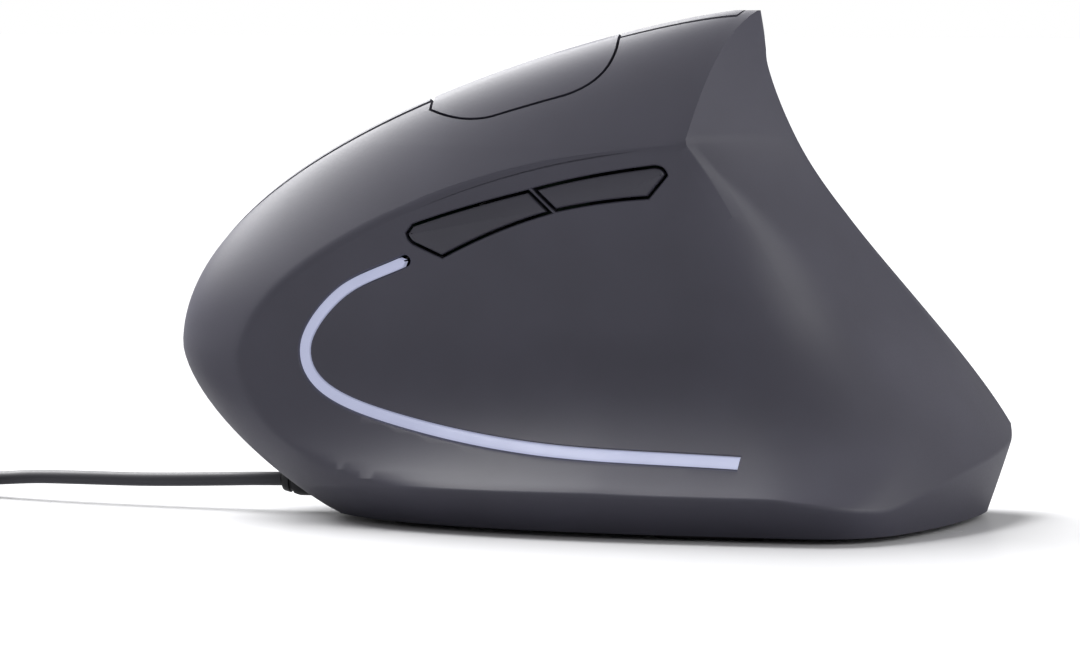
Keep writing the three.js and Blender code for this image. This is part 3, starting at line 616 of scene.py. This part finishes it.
# ---- outlines drawn in side view (x, z), and cutters made from them ----
def curve(points, steps=10):
    """A closed outline. A point of four numbers is a quadratic bend: its control, then its end."""
    outline = [np.array(points[0], float)]
    for p in points[1:]:
        if len(p) == 2:
            outline.append(np.array(p, float))
            continue
        a, control, b = outline[-1], np.array(p[:2]), np.array(p[2:])
        outline += [(1 - t) ** 2 * a + 2 * t * (1 - t) * control + t * t * b
                    for t in np.linspace(0, 1, steps + 1)[1:]]
    outline = np.array(outline)
    if np.allclose(outline[0], outline[-1]):
        outline = outline[:-1]
    return outline if signed_area(outline) > 0 else outline[::-1]


def signed_area(outline):
    x, z = outline.T
    return float(np.sum(x * np.roll(z, -1) - np.roll(x, -1) * z)) / 2


def grown(outline, by):
    """The outline moved out by a distance, or in where it is negative."""
    along = np.roll(outline, -1, 0) - outline
    normal = np.stack([along[:, 1], -along[:, 0]], 1) / np.linalg.norm(along, axis=1)[:, None]
    before = np.roll(normal, 1, 0)
    mitre = before + normal
    mitre /= np.linalg.norm(mitre, axis=1)[:, None]
    return outline + mitre * by / np.maximum(np.sum(mitre * normal, 1), 0.5)[:, None]


FORWARD = curve([(-22.2, 42.2), (-21.9, 41.2, -21.2, 40.8), (-17, 38.9), (-9, 43.2, -0.9, 45.5), (-4, 48.5),
                 (-13, 46.3, -21.3, 43.4)])
BACK = curve([(-3.1, 48.8), (0, 45.8), (6.5, 47.3, 13.6, 47.8), (16.3, 51), (16, 52.3, 14.4, 52.2),
              (5, 51, -3.1, 48.8)])
MODE = curve([(-20.6, 61.2), (-15.4, 57.4, -10.6, 58.2), (0.6, 61.2), (6.9, 63.4, 7.4, 70), (7.4, 86),
              (-20.6, 86)])
MODE_LEAN, MODE_Y = -0.6, -10
STRIP_LINE = [(-22.6, 38.2), (-32.3, 33.5), (-37.6, 26), (-34.5, 19.6), (-22.4, 15.3), (-1.4, 12.1),
              (29, 10.9)]


def split_z(x):
    """The slanting line between the two click plates."""
    return 21.5 + 0.606 * (x + 60)


PLATE_END_X, PLATE_TOP_X, PLATE_LOW_X = -17.2, -20.9, -9
LEFT_PLATE = curve([(-75, split_z(-75)), (PLATE_END_X, split_z(PLATE_END_X)), (PLATE_TOP_X, 60),
                    (PLATE_TOP_X, 95), (-75, 95)])
RIGHT_PLATE = curve([(-75, 8), (-47, 16.6), (PLATE_LOW_X, 22.5), (PLATE_END_X, split_z(PLATE_END_X)),
                     (-75, split_z(-75))])


def across(outline, y):
    """The outline as points in space. y is a number or one for each point."""
    y = np.broadcast_to(y, len(outline))
    return np.stack([outline[:, 0], y, outline[:, 1]], 1)


def prism(outline, y0, y1, lean=0, lean_y=0):
    rings = [across(outline, y) for y in (y0, y1)]
    for ring, y in zip(rings, (y0, y1)):
        ring[:, 2] += lean * (y - lean_y)
    return stack(rings)


def near_skin(outline):
    """y of the skin on the thumb side, at each (x, z) of an outline."""
    x, z = outline.T
    inside, outside = crest_y(z) - 1.0, np.full(len(x), -45.0)
    for _ in range(30):
        middle = (inside + outside) / 2
        within = whole(x, middle, z) < 0
        inside, outside = np.where(within, middle, inside), np.where(within, outside, middle)
    return inside


CHAMFER = 0.16


def near_hole(outline, gap):
    """Cuts an opening in the thumb side, with a broken edge that follows the skin."""
    tight, wide = grown(outline, gap), grown(outline, gap + 1.4 * CHAMFER)
    return stack([across(wide, -45), across(wide, near_skin(wide) - 0.4 * CHAMFER),
                  across(tight, near_skin(tight) + CHAMFER), across(tight, -9)])


def mode_cut(by):
    return prism(grown(MODE, by), -30, 3 + by, MODE_LEAN, MODE_Y)


# ---- deck frame: x forward along the fingers, y up the finger face, z out of it ----
def deck_matrix():
    normal = Vector((-0.244, 0.802, 0.545)).normalized()
    forward = Vector((-0.855, 0, -0.518))
    forward = (forward - normal * forward.dot(normal)).normalized()
    side = normal.cross(forward)
    matrix = Matrix((forward, side, normal)).transposed().to_4x4()
    matrix.translation = (-33, 14, 40)
    return matrix


DECK = deck_matrix()
WHEEL = DECK @ Matrix.Translation((0, 0, -WHEEL_DEPTH))
SLOT_LONG = 2 * (WHEEL_R ** 2 - (WHEEL_DEPTH - WALL - 0.6) ** 2) ** 0.5 + 1.6


def slot_cut():
    """The wheel's slot, with rounded corners."""
    half_long, half_wide, corner = SLOT_LONG / 2, (WHEEL_W + 1.6) / 2, 2.4
    outline = []
    for sx, sy, start in ((1, -1, -pi / 2), (1, 1, 0), (-1, 1, pi / 2), (-1, -1, pi)):
        outline += [(sx * (half_long - corner) + corner * cos(start + a),
                     sy * (half_wide - corner) + corner * sin(start + a))
                    for a in np.linspace(0, pi / 2, 7)]
    return extruded(outline, -7, 5, DECK)


# ---- shells ----
def finger_side(gap):
    """The finger side of the seam: behind the crest line, above the lower seam, ahead of the rear facet."""
    z = np.linspace(8, 80, 73)
    line = np.stack([crest_y(z) - SEAM + gap, z], 1)
    section = np.vstack([line, [(60, 80), (60, 8)]])
    solid = stack([np.insert(section, 0, x, axis=1) for x in (-70.0, 70.0)])
    lower = curve([(-70, 25.5 + gap), (-36, 13.5 + gap), (75, 13.5 + gap), (75, 90), (-70, 90)])
    shared(solid, prism(lower, -30, 60))
    t = np.linspace(0, 1, 91)[:, None]
    level, angle = 5 + 75 * t, np.linspace(-pi, pi, 241)[None, :] + 0 * t
    r = reach(thumb_side, 0, 25, angle, level) - 1.4 - gap
    bm = skin_grid(np.stack([r * np.cos(angle), 25 + r * np.sin(angle), level + 0 * angle], 2))
    weld(bm)
    return shared(solid, shape(bm))


SCREWS = ((-18, -14), (36, -22), (42, 17))
BOSS_R, PILOT_R, BOSS_TOP = 3.2, 1.4, 12
COLLAR_R = 2.4


def thumb_shell(wall):
    shell = less(copy_of(wall), finger_side(0))
    edge = inner_form(0.6, 20)
    foot = FOOT_GAP + PLATE_T + FIT
    for x, y in SCREWS:
        post = rod(BOSS_R, foot, BOSS_TOP, Matrix.Translation((x, y, 0)))
        out = 9 if y > 0 else -9
        rib = box((x - 1, min(y, y + out), foot), (x + 1, max(y, y + out), BOSS_TOP - 0.01))
        joined(shell, shared(joined(post, rib), edge, keep=True))
        less(shell, rod(PILOT_R, 0, BOSS_TOP - 1.5, Matrix.Translation((x, y, 0))))
    bpy.data.objects.remove(edge)
    less(shell, near_hole(FORWARD, BUTTON_GAP / 2))
    less(shell, near_hole(BACK, BUTTON_GAP / 2))
    less(shell, near_hole(strip_outline(STRIP_WIDTH + 0.3), 0))
    less(shell, mode_cut(BUTTON_GAP / 2))
    ahead = Matrix.Translation((-70, EXIT[1], EXIT[2])) @ Matrix.Rotation(pi / 2, 4, "Y")
    return less(shell, rod(COLLAR_R + FIT, 0, 40, ahead))


def palm_shell(wall):
    shell = shared(copy_of(wall), finger_side(FIT))
    half = BUTTON_GAP / 2
    less(shell, prism(grown(LEFT_PLATE, half), -40, 60))
    less(shell, prism(grown(RIGHT_PLATE, half), -40, 60))
    return less(shell, mode_cut(half))


CLICK_FORWARD, CLICK_UP, CLICK_HIGH, CLICK_PROUD = 10, 10, 5, 0.5
POST_END = DECK_DEPTH - CLICK_HIGH - CLICK_PROUD - 3 * FIT


def click_plate(wall, body, outline, side):
    post = box((CLICK_FORWARD - 1.5, side * CLICK_UP - 1.5, -POST_END),
               (CLICK_FORWARD + 1.5, side * CLICK_UP + 1.5, -1.3), DECK)
    plate = shared(copy_of(wall), finger_side(PLATE_GAP))
    shared(plate, prism(grown(outline, -BUTTON_GAP / 2), -40, 60))
    joined(plate, shared(post, body, keep=True))
    less(plate, slot_cut())
    return less(plate, mode_cut(BUTTON_GAP / 2))


# ---- small buttons and the light strip ----
CAP_PROUD = 0.25


def thumb_button(outline, post_x, post_z):
    """A cap with a rolled edge that stands a little proud of the thumb face, and its post."""
    side = grown(outline, -BUTTON_GAP / 2)
    rings = [across(side, near_skin(side) + WALL)]
    for inset, drop in ((0, 0.42), (0.06, 0.2), (0.2, 0.06), (0.42, 0)):
        ring = grown(side, -inset)
        rings.append(across(ring, near_skin(ring) - CAP_PROUD + drop))
    cap = stack(rings)
    post = box((post_x - 1.2, 0.6 - THUMB_Y, post_z - 1.2), (post_x + 1.2, -9.5, post_z + 1.2))
    return joined(cap, post)


def strip_centre(count):
    """Evenly spaced points on the strip's line and its direction at each."""
    knots = [Vector(p) for p in STRIP_LINE]
    knots = [2 * knots[0] - knots[1]] + knots + [2 * knots[-1] - knots[-2]]
    dense = []
    for i in range(1, len(knots) - 2):
        a, b, c, d = knots[i - 1:i + 3]
        for t in np.linspace(0, 1, 40, endpoint=i == len(knots) - 3):
            dense.append(between(a, b, c, d, t))
    dense = np.array([tuple(p) for p in dense])
    run = np.concatenate([[0], np.cumsum(np.linalg.norm(np.diff(dense, axis=0), axis=1))])
    at = np.linspace(0, run[-1], count)
    points = np.stack([np.interp(at, run, dense[:, k]) for k in (0, 1)], 1)
    direction = np.gradient(points, axis=0)
    return points, direction / np.linalg.norm(direction, axis=1)[:, None]


def strip_outline(width):
    """The strip's outline: a round top end and a square rear end."""
    points, along = strip_centre(90)
    side = np.stack([-along[:, 1], along[:, 0]], 1) * width / 2
    turn = np.linspace(0, pi, 9)[1:-1]
    round_end = [points[0] - side[0] * cos(a) - along[0] * width / 2 * sin(a) for a in turn]
    outline = np.vstack([points + side, (points - side)[::-1], round_end])
    return outline if signed_area(outline) > 0 else outline[::-1]


def light_strip():
    """A bar swept along the strip's line: flat against the light guide, softly domed outside."""
    count = 150
    points, along = strip_centre(count)
    width = np.full(count, STRIP_WIDTH - 0.04)
    ahead = np.linalg.norm(points - points[0], axis=1)
    round_end = ahead < STRIP_WIDTH / 2
    width[round_end] *= np.sqrt(np.maximum(1 - (1 - ahead[round_end] / (STRIP_WIDTH / 2)) ** 2, 0.03))
    half = np.array([-1, -1, -1, -0.97, -0.8, -0.4, 0, 0.4, 0.8, 0.97, 1, 1, 1]) / 2
    depth = np.array([1.8, 0.9, 0.22, 0.08, -0.02, -0.07, -0.09, -0.07, -0.02, 0.08, 0.22, 0.9, 1.8])
    side = np.stack([-along[:, 1], along[:, 0]], 1)
    rows = []
    for share, inward in zip(half, depth):
        place = points + side * (width * share)[:, None]
        rows.append(across(place, near_skin(place) + inward))
    bm = skin_grid(np.array(rows))
    weld(bm)
    return shape(bm)


# ---- base, feet and screws ----
WINDOW_X, WINDOW_LONG, WINDOW_WIDE = 4, 12, 8
# Each foot: its middle x and y, its length and width, and its turn.
FEET = ((-23, 2, 22, 5, pi / 2), (24, -21.5, 16, 5, 0), (49, 6, 16, 5, 1.25))


def soften(obj, width):
    """Rounds every edge of obj that is sharper than 40 degrees."""
    rounding = obj.modifiers.new("rounding", "BEVEL")
    rounding.limit_method, rounding.angle_limit = "ANGLE", radians(40)
    rounding.width, rounding.segments, rounding.profile, rounding.material = width, 3, 0.5, -1
    return applied(obj)


def base_plate():
    plate = shared(inner_form(WALL + FIT), box((-70, -40, FOOT_GAP), (70, 40, FOOT_GAP + PLATE_T)))
    for x, y in SCREWS:
        less(plate, rod(1.3, 0, 5, Matrix.Translation((x, y, 0))))
        less(plate, rod(2.4, 0, FOOT_GAP + 1, Matrix.Translation((x, y, 0))))
    less(plate, box((WINDOW_X - WINDOW_LONG / 2, -WINDOW_WIDE / 2, 0),
                    (WINDOW_X + WINDOW_LONG / 2, WINDOW_WIDE / 2, 5)))
    for x, y, long, wide, turn in FEET:
        less(plate, pad(x, y, long + 0.8, wide + 0.8, turn, FOOT_GAP - 0.2, FOOT_GAP + 0.03))
    return plate


def pad(x, y, long, wide, turn, z0, z1):
    """A flat slab with round ends."""
    r = wide / 2
    outline = [((long / 2 - r) * s + r * cos(a + b), r * sin(a + b)) for s, b in ((1, -pi / 2), (-1, pi / 2))
               for a in np.linspace(0, pi, 17)]
    return extruded(outline, z0, z1, Matrix.Translation((x, y, 0)) @ Matrix.Rotation(turn, 4, "Z"))


def screw():
    """A flat-headed screw with a cross recess and a thread."""
    profile = [(0, 1.0), (1.9, 1.0), (2.0, 1.1), (2.0, 1.42), (1.9, 1.5), (1.0, 1.5)]
    z, pitch, crest = 2.0, 0.8, 0.28
    while z < 8.6:
        profile += [(1.0, z), (1.0 + crest, z + crest), (1.0, z + 2 * crest)]
        z += pitch
    profile += [(1.0, 9), (0, 9.8)]
    body = shape(turned(profile, 32))
    for a in (0, pi / 2):
        less(body, box((-1.1, -0.22, 0.5), (1.1, 0.22, 1.38), Matrix.Rotation(a + 0.4, 4, "Z")))
    return body


# ---- scroll wheel ----
HUB_R = WHEEL_R - TYRE_T - FIT
AXLE_TO_Z = Matrix.Rotation(-pi / 2, 4, "X")


def wheel_hub():
    half, rim = WHEEL_W / 2, 1.6
    profile = [(AXLE_R + FIT, -half), (3.2, -half), (3.5, -half + 0.3), (3.8, -1.1), (HUB_R - rim, -1.1),
               (HUB_R - rim + 0.3, -half + 0.3), (HUB_R - 0.3, -half), (HUB_R, -half + 0.3)]
    profile += [(r, -z) for r, z in reversed(profile)]
    hub = shape(turned(profile, 72, WHEEL @ AXLE_TO_Z))
    for k in range(6):
        spot = Matrix.Rotation(k * pi / 3, 4, "Z") @ Matrix.Translation((5.4, 0, 0))
        less(hub, rod(0.9, -5, 5, WHEEL @ AXLE_TO_Z @ spot, 20))
    return hub


def wheel_tyre():
    """A rubber tyre with grip grooves across it."""
    half = WHEEL_W / 2 - 0.4
    profile = [(HUB_R + FIT, -half), (WHEEL_R - 1.1, -half), (WHEEL_R - 0.55, -half + 0.25),
               (WHEEL_R - 0.15, -half + 0.8), (WHEEL_R, -half + 1.6)]
    profile += [(r, -z) for r, z in reversed(profile)]
    grooves, steps_per_groove, groove_deep = 30, 8, 0.45
    bm = turned(profile, grooves * steps_per_groove)
    for v in bm.verts:
        r = v.co.xy.length
        turn = (np.arctan2(v.co.y, v.co.x) / (2 * pi) * grooves) % 1
        if r > WHEEL_R - 0.6 and abs(turn - 0.5) < 0.19:
            v.co.xy *= (r - groove_deep) / r
    bmesh.ops.transform(bm, matrix=WHEEL @ AXLE_TO_Z, verts=bm.verts)
    return shape(bm)


# ---- strain relief, lead, coil and plug ----
CABLE_ROUTE = [
    (-45.5, 0, 4.7), (-50, 0.1, 4.6), (-56, 0.5, 4.35), (-62, 1.1, 4.1), (-68, 1.9, 3.9), (-74, 2.9, 3.8),
    (-80, 4.1, 3.7), (-86, 5.7, 3.5), (-92, 7.6, 3), (-97.5, 9.8, 2.45), (-102, 11.6, 2.1),
    (-106.4, 13.25, 1.98),
]
COIL_X, COIL_Y, COIL_Z, COIL_R = -116.4, -0.5, 1.95, 12.1
PLUG_X, PLUG_Y, PLUG_Z = COIL_X - COIL_R - 3.15, -20.5, 4.2
# The plug is drawn from its cable end along +Y, then turned to point along -Y.
PLUG_TURN = Matrix.Translation((PLUG_X, PLUG_Y, PLUG_Z)) @ Matrix.Rotation(pi, 4, "Z")


def coil_points():
    """Turns wound in four layers: the lower of each pair runs inward, and the upper one back outward."""
    wide = [COIL_R + CABLE_D * k for k in (2, 1, 0, -1, -2)]
    narrow = [COIL_R + CABLE_D * k for k in (-1.5, -0.5, 0.5, 1.5)]
    turns = [(r, COIL_Z + CABLE_D * layer) for layer in range(4) for r in (wide, narrow)[layer % 2]]
    turns.append(turns[-1])
    start, steps, points = radians(70), 40, []
    for (r0, z0), (r1, z1) in zip(turns, turns[1:]):
        for k in range(steps):
            blend = float(ease((k / steps - 0.7) / 0.3))
            r, z, a = r0 + (r1 - r0) * blend, z0 + (z1 - z0) * blend, start + 2 * pi * k / steps
            points.append((COIL_X + r * cos(a), COIL_Y + r * sin(a), z))
    r, z = turns[-1]
    points += [(COIL_X + r * cos(a), COIL_Y + r * sin(a), z)
               for a in np.linspace(start, pi, 9)]
    return points


def smooth_line(points, per):
    """A Catmull-Rom line through points."""
    p = [Vector(q) for q in points]
    p = [2 * p[0] - p[1]] + p + [2 * p[-1] - p[-2]]
    line = []
    for i in range(1, len(p) - 2):
        a, b, c, d = p[i - 1:i + 3]
        for t in np.linspace(0, 1, per, endpoint=False):
            line.append(between(a, b, c, d, t))
    return line + [p[-2]]


def lead():
    wound = coil_points()
    tail = [(PLUG_X, y, z) for y, z in ((-5.5, 8.2), (-10, 7.4), (-14.5, 5.6), (-18.5, 4.4), (-22, PLUG_Z))]
    line = smooth_line(CABLE_ROUTE + wound[:1], 4)[:-1]
    line += [Vector(p) for p in wound[:-1]] + smooth_line(wound[-1:] + tail, 5)
    data = bpy.data.curves.new("lead", "CURVE")
    data.dimensions, data.bevel_depth, data.bevel_resolution = "3D", CABLE_D / 2 * MM, 3
    data.use_fill_caps = True
    spline = data.splines.new("POLY")
    spline.points.add(len(line) - 1)
    for point, place in zip(spline.points, line):
        point.co = (*(place * MM), 1)
    spline.use_smooth = True
    data.materials.append(LEAD)
    obj = bpy.data.objects.new("lead", data)
    bpy.context.scene.collection.objects.link(obj)
    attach(obj, "root")
    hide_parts("cable", "cable_coil")
    return obj


def coil_tie():
    """A band round the bundle on its +X side, with a rounded section."""
    inner, thick, half_wide = 0.35, 0.6, 2.5
    x0, x1 = COIL_R - 2.5 * CABLE_D - inner, COIL_R + 2.5 * CABLE_D + inner
    z0, z1 = COIL_Z - CABLE_D / 2 - inner, COIL_Z + 3.5 * CABLE_D + inner
    corner = 1.6
    ring = []
    for cx, cz, start in ((x1 - corner, z1 - corner, 0), (x0 + corner, z1 - corner, pi / 2),
                          (x0 + corner, z0 + corner, pi), (x1 - corner, z0 + corner, 3 * pi / 2)):
        ring += [(cx, cz, start + a) for a in np.linspace(0, pi / 2, 7)]
    section = [(0, -half_wide), (thick, -half_wide + 0.15), (thick, half_wide - 0.15), (0, half_wide)]
    points = np.array([[(COIL_X + cx + (corner + out) * cos(a), COIL_Y + wide, cz + (corner + out) * sin(a))
                        for cx, cz, a in ring + ring[:1]] for out, wide in section + section[:1]])
    bm = skin_grid(points)
    bmesh.ops.remove_doubles(bm, verts=bm.verts, dist=0.002)
    bmesh.ops.recalc_face_normals(bm, faces=bm.faces)
    return shape(bm)


def strain_relief():
    """A short tapered collar with two flex grooves, pointing along -X."""
    r = CABLE_D / 2
    profile = [(r + 0.02, 0), (r + 0.55, 0), (r + 0.7, 0.15), (r + 0.95, 1.1), (r + 0.7, 1.25),
               (r + 0.72, 1.6), (r + 1.1, 1.75), (COLLAR_R, 2.6), (COLLAR_R, 8), (r + 0.02, 8)]
    return shape(turned(profile, 40, Matrix.Translation(EXIT) @ Matrix.Rotation(pi / 2, 4, "Y")))


def overmould():
    """The plug's moulded grip, with shallow ribs on its broad faces."""
    long, wide, high = 20, 15, 8
    rings = []
    for y, w, h in ((0, 5.2, 4.6), (0.4, 6, 5.4), (2, 8.6, 6.4), (4.5, 12.4, 7.5), (7, wide, high),
                    (long - 0.6, wide, high), (long, wide - 1, high - 1)):
        corner = 1.5 if w > 9 else 1.2
        ring = []
        for sx, sz, start in ((1, 1, 0), (-1, 1, pi / 2), (-1, -1, pi), (1, -1, 3 * pi / 2)):
            ring += [(sx * (w / 2 - corner) + corner * cos(start + a), y,
                      sz * (h / 2 - corner) + corner * sin(start + a))
                     for a in np.linspace(0, pi / 2, 6)]
        rings.append(ring)
    grip = stack(rings)
    for k in range(4):
        y = 9 + 2.2 * k
        for side in (-1, 1):
            less(grip, box((-4.5, y - 0.45, side * high / 2 - 0.35), (4.5, y + 0.45, side * high / 2 + 0.35)))
    grip.data.transform(PLUG_TURN)
    return grip


def plug_shell():
    y0, long, wide, high, sheet = 20 + FIT, 12, 12, 4.5, 0.4
    outer = soften(box((-wide / 2, y0, -high / 2), (wide / 2, y0 + long, high / 2)), 0.3)
    less(outer, box((sheet - wide / 2, y0 + 1, sheet - high / 2),
                    (wide / 2 - sheet, y0 + long + 1, high / 2 - sheet)))
    for x in (-2.9, 2.9):
        less(outer, box((x - 1.1, y0 + 5, 0), (x + 1.1, y0 + 7.2, high)))
    outer.data.transform(PLUG_TURN)
    return outer


# ---- build ----
def build():
    set_camera()
    lead_piece = lead()
    tie = finished(coil_tie(), "coil_tie_band", STRAP, "root", ["coil_tie"])
    grip = finished(overmould(), "plug_grip", RELIEF, "root", ["usb_overmould"], 40)
    metal = finished(plug_shell(), "plug_metal", STEEL, "root", ["usb_shell"])
    finished(strain_relief(), "cable_collar", RELIEF, "root", ["strain_relief"])

    body, cavity = body_form(), inner_form(WALL)
    wall = less(copy_of(body), cavity)
    finished(thumb_shell(wall), "thumb_side_shell", SHELL, "root", ["thumb_shell"])
    finished(palm_shell(wall), "palm_side_shell", SHELL, "root", ["palm_shell"])
    finished(click_plate(wall, body, LEFT_PLATE, 1), "left_click_cover", SHELL, "left_click",
             ["left_click_plate"])
    finished(click_plate(wall, body, RIGHT_PLATE, -1), "right_click_cover", SHELL, "right_click",
             ["right_click_plate"])
    cap = shared(copy_of(wall), mode_cut(-BUTTON_GAP / 2))
    joined(cap, box((-8.2, -6.2, 61.3), (-5.8, -3.8, 65.5)))
    finished(cap, "mode_button_cap", SHELL, "dpi", ["dpi_button"])
    finished(thumb_button(FORWARD, -9.5, 44.7), "forward_button_cap", BUTTON, "forward",
             ["forward_button"])
    finished(thumb_button(BACK, 6, 49), "back_button_cap", BUTTON, "back", ["back_button"])
    finished(light_strip(), "light_strip_bar", GLOW, "root", ["light_strip"], 60)
    for scratch in (body, wall):
        bpy.data.objects.remove(scratch)

    finished(base_plate(), "base_cover", BASE, "root", ["base_plate"])
    for (x, y, long, wide, turn), name in zip(FEET, ("front_foot", "rear_thumb_foot", "rear_finger_foot")):
        foot = soften(pad(x, y, long, wide, turn, 0, FOOT_GAP - 0.05), 0.18)
        finished(foot, name + "_pad", GLIDE, "root", [name])
    for i, (x, y) in enumerate(SCREWS):
        part = screw()
        part.data.transform(Matrix.Translation((x, y, 0)))
        finished(part, f"screw_{i + 1}", STEEL, "root", [f"base_screw_{i + 1}"])

    finished(wheel_hub(), "wheel_hub_rim", GLOSS, "wheel", ["wheel_hub"])
    finished(wheel_tyre(), "wheel_ribbed_tyre", TYRE, "wheel", ["wheel_tyre"], 25)


CAD_FINISH = {
    "main_board": BOARD, "button_board": BOARD, "thumb_board": BOARD, "dpi_board": BOARD,
    "sensor_lens": CLEAR, "sensor_lamp": CLEAR, "cable_socket": NYLON, "usb_tongue": NYLON,
    "wheel_axle": STEEL, "wheel_frame": GLOSS,
}


def finish_cad_nodes():
    """Every CAD node that stays gets its real finish."""
    for name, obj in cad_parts.items():
        finish = CAD_FINISH.get(name, NYLON if name.endswith("plunger") else CHIP)
        obj.data.materials.clear()
        obj.data.materials.append(finish)


def studio():
    """A white floor and backdrop, one broad light from ahead and a softbox behind."""
    bm = bmesh.new()
    bmesh.ops.create_grid(bm, x_segments=1, y_segments=1, size=4)
    floor = shape(bm)
    floor.name = floor.data.name = "floor"
    made, tree, bsdf = blank("floor_white_acrylic")
    where = node(tree, "ShaderNodeTexCoord").outputs["Object"]
    haze = node(tree, "ShaderNodeTexNoise", [("Vector", where)], scale=30)
    tree.links.new(spread(tree, haze.outputs["Fac"], 0.22, 0.3), bsdf.inputs["Roughness"])
    # White to the camera, and a grey to the light that it throws back on the mouse.
    seen = node(tree, "ShaderNodeLightPath").outputs["Is Camera Ray"]
    tree.links.new(tinted(tree, seen, "#a6a6a9", "#fbfbfd"), bsdf.inputs["Base Color"])
    bsdf.inputs["Specular IOR Level"].default_value = 0.12
    floor.data.materials.append(made)
    world = bpy.data.worlds.new("studio")
    bpy.context.scene.world = world
    world.use_nodes = True
    background = world.node_tree.nodes["Background"]
    background.inputs["Color"].default_value = (1, 1, 1, 1)
    # The backdrop itself is white; what it gives the mouse is dimmer, so that the faces keep their shading.
    seen = node(world.node_tree, "ShaderNodeLightPath").outputs["Is Camera Ray"]
    world.node_tree.links.new(spread(world.node_tree, seen, 0.32, 1), background.inputs["Strength"])
    sun = bpy.data.lights.new("broad_key", "SUN")
    sun.energy, sun.angle = 5.9, radians(50)
    key = bpy.data.objects.new("broad_key", sun)
    bpy.context.scene.collection.objects.link(key)
    key.location = (-0.6, 0.4, 0.8)
    aim(key, (0, 0, 0))
    softbox("rear_softbox", (0.8, -0.1, 0.35), (0.02, 0, 0.04), (0.6, 0.6), 2.4)
    bpy.context.scene.view_settings.view_transform = "Standard"


build()
finish_cad_nodes()
studio()
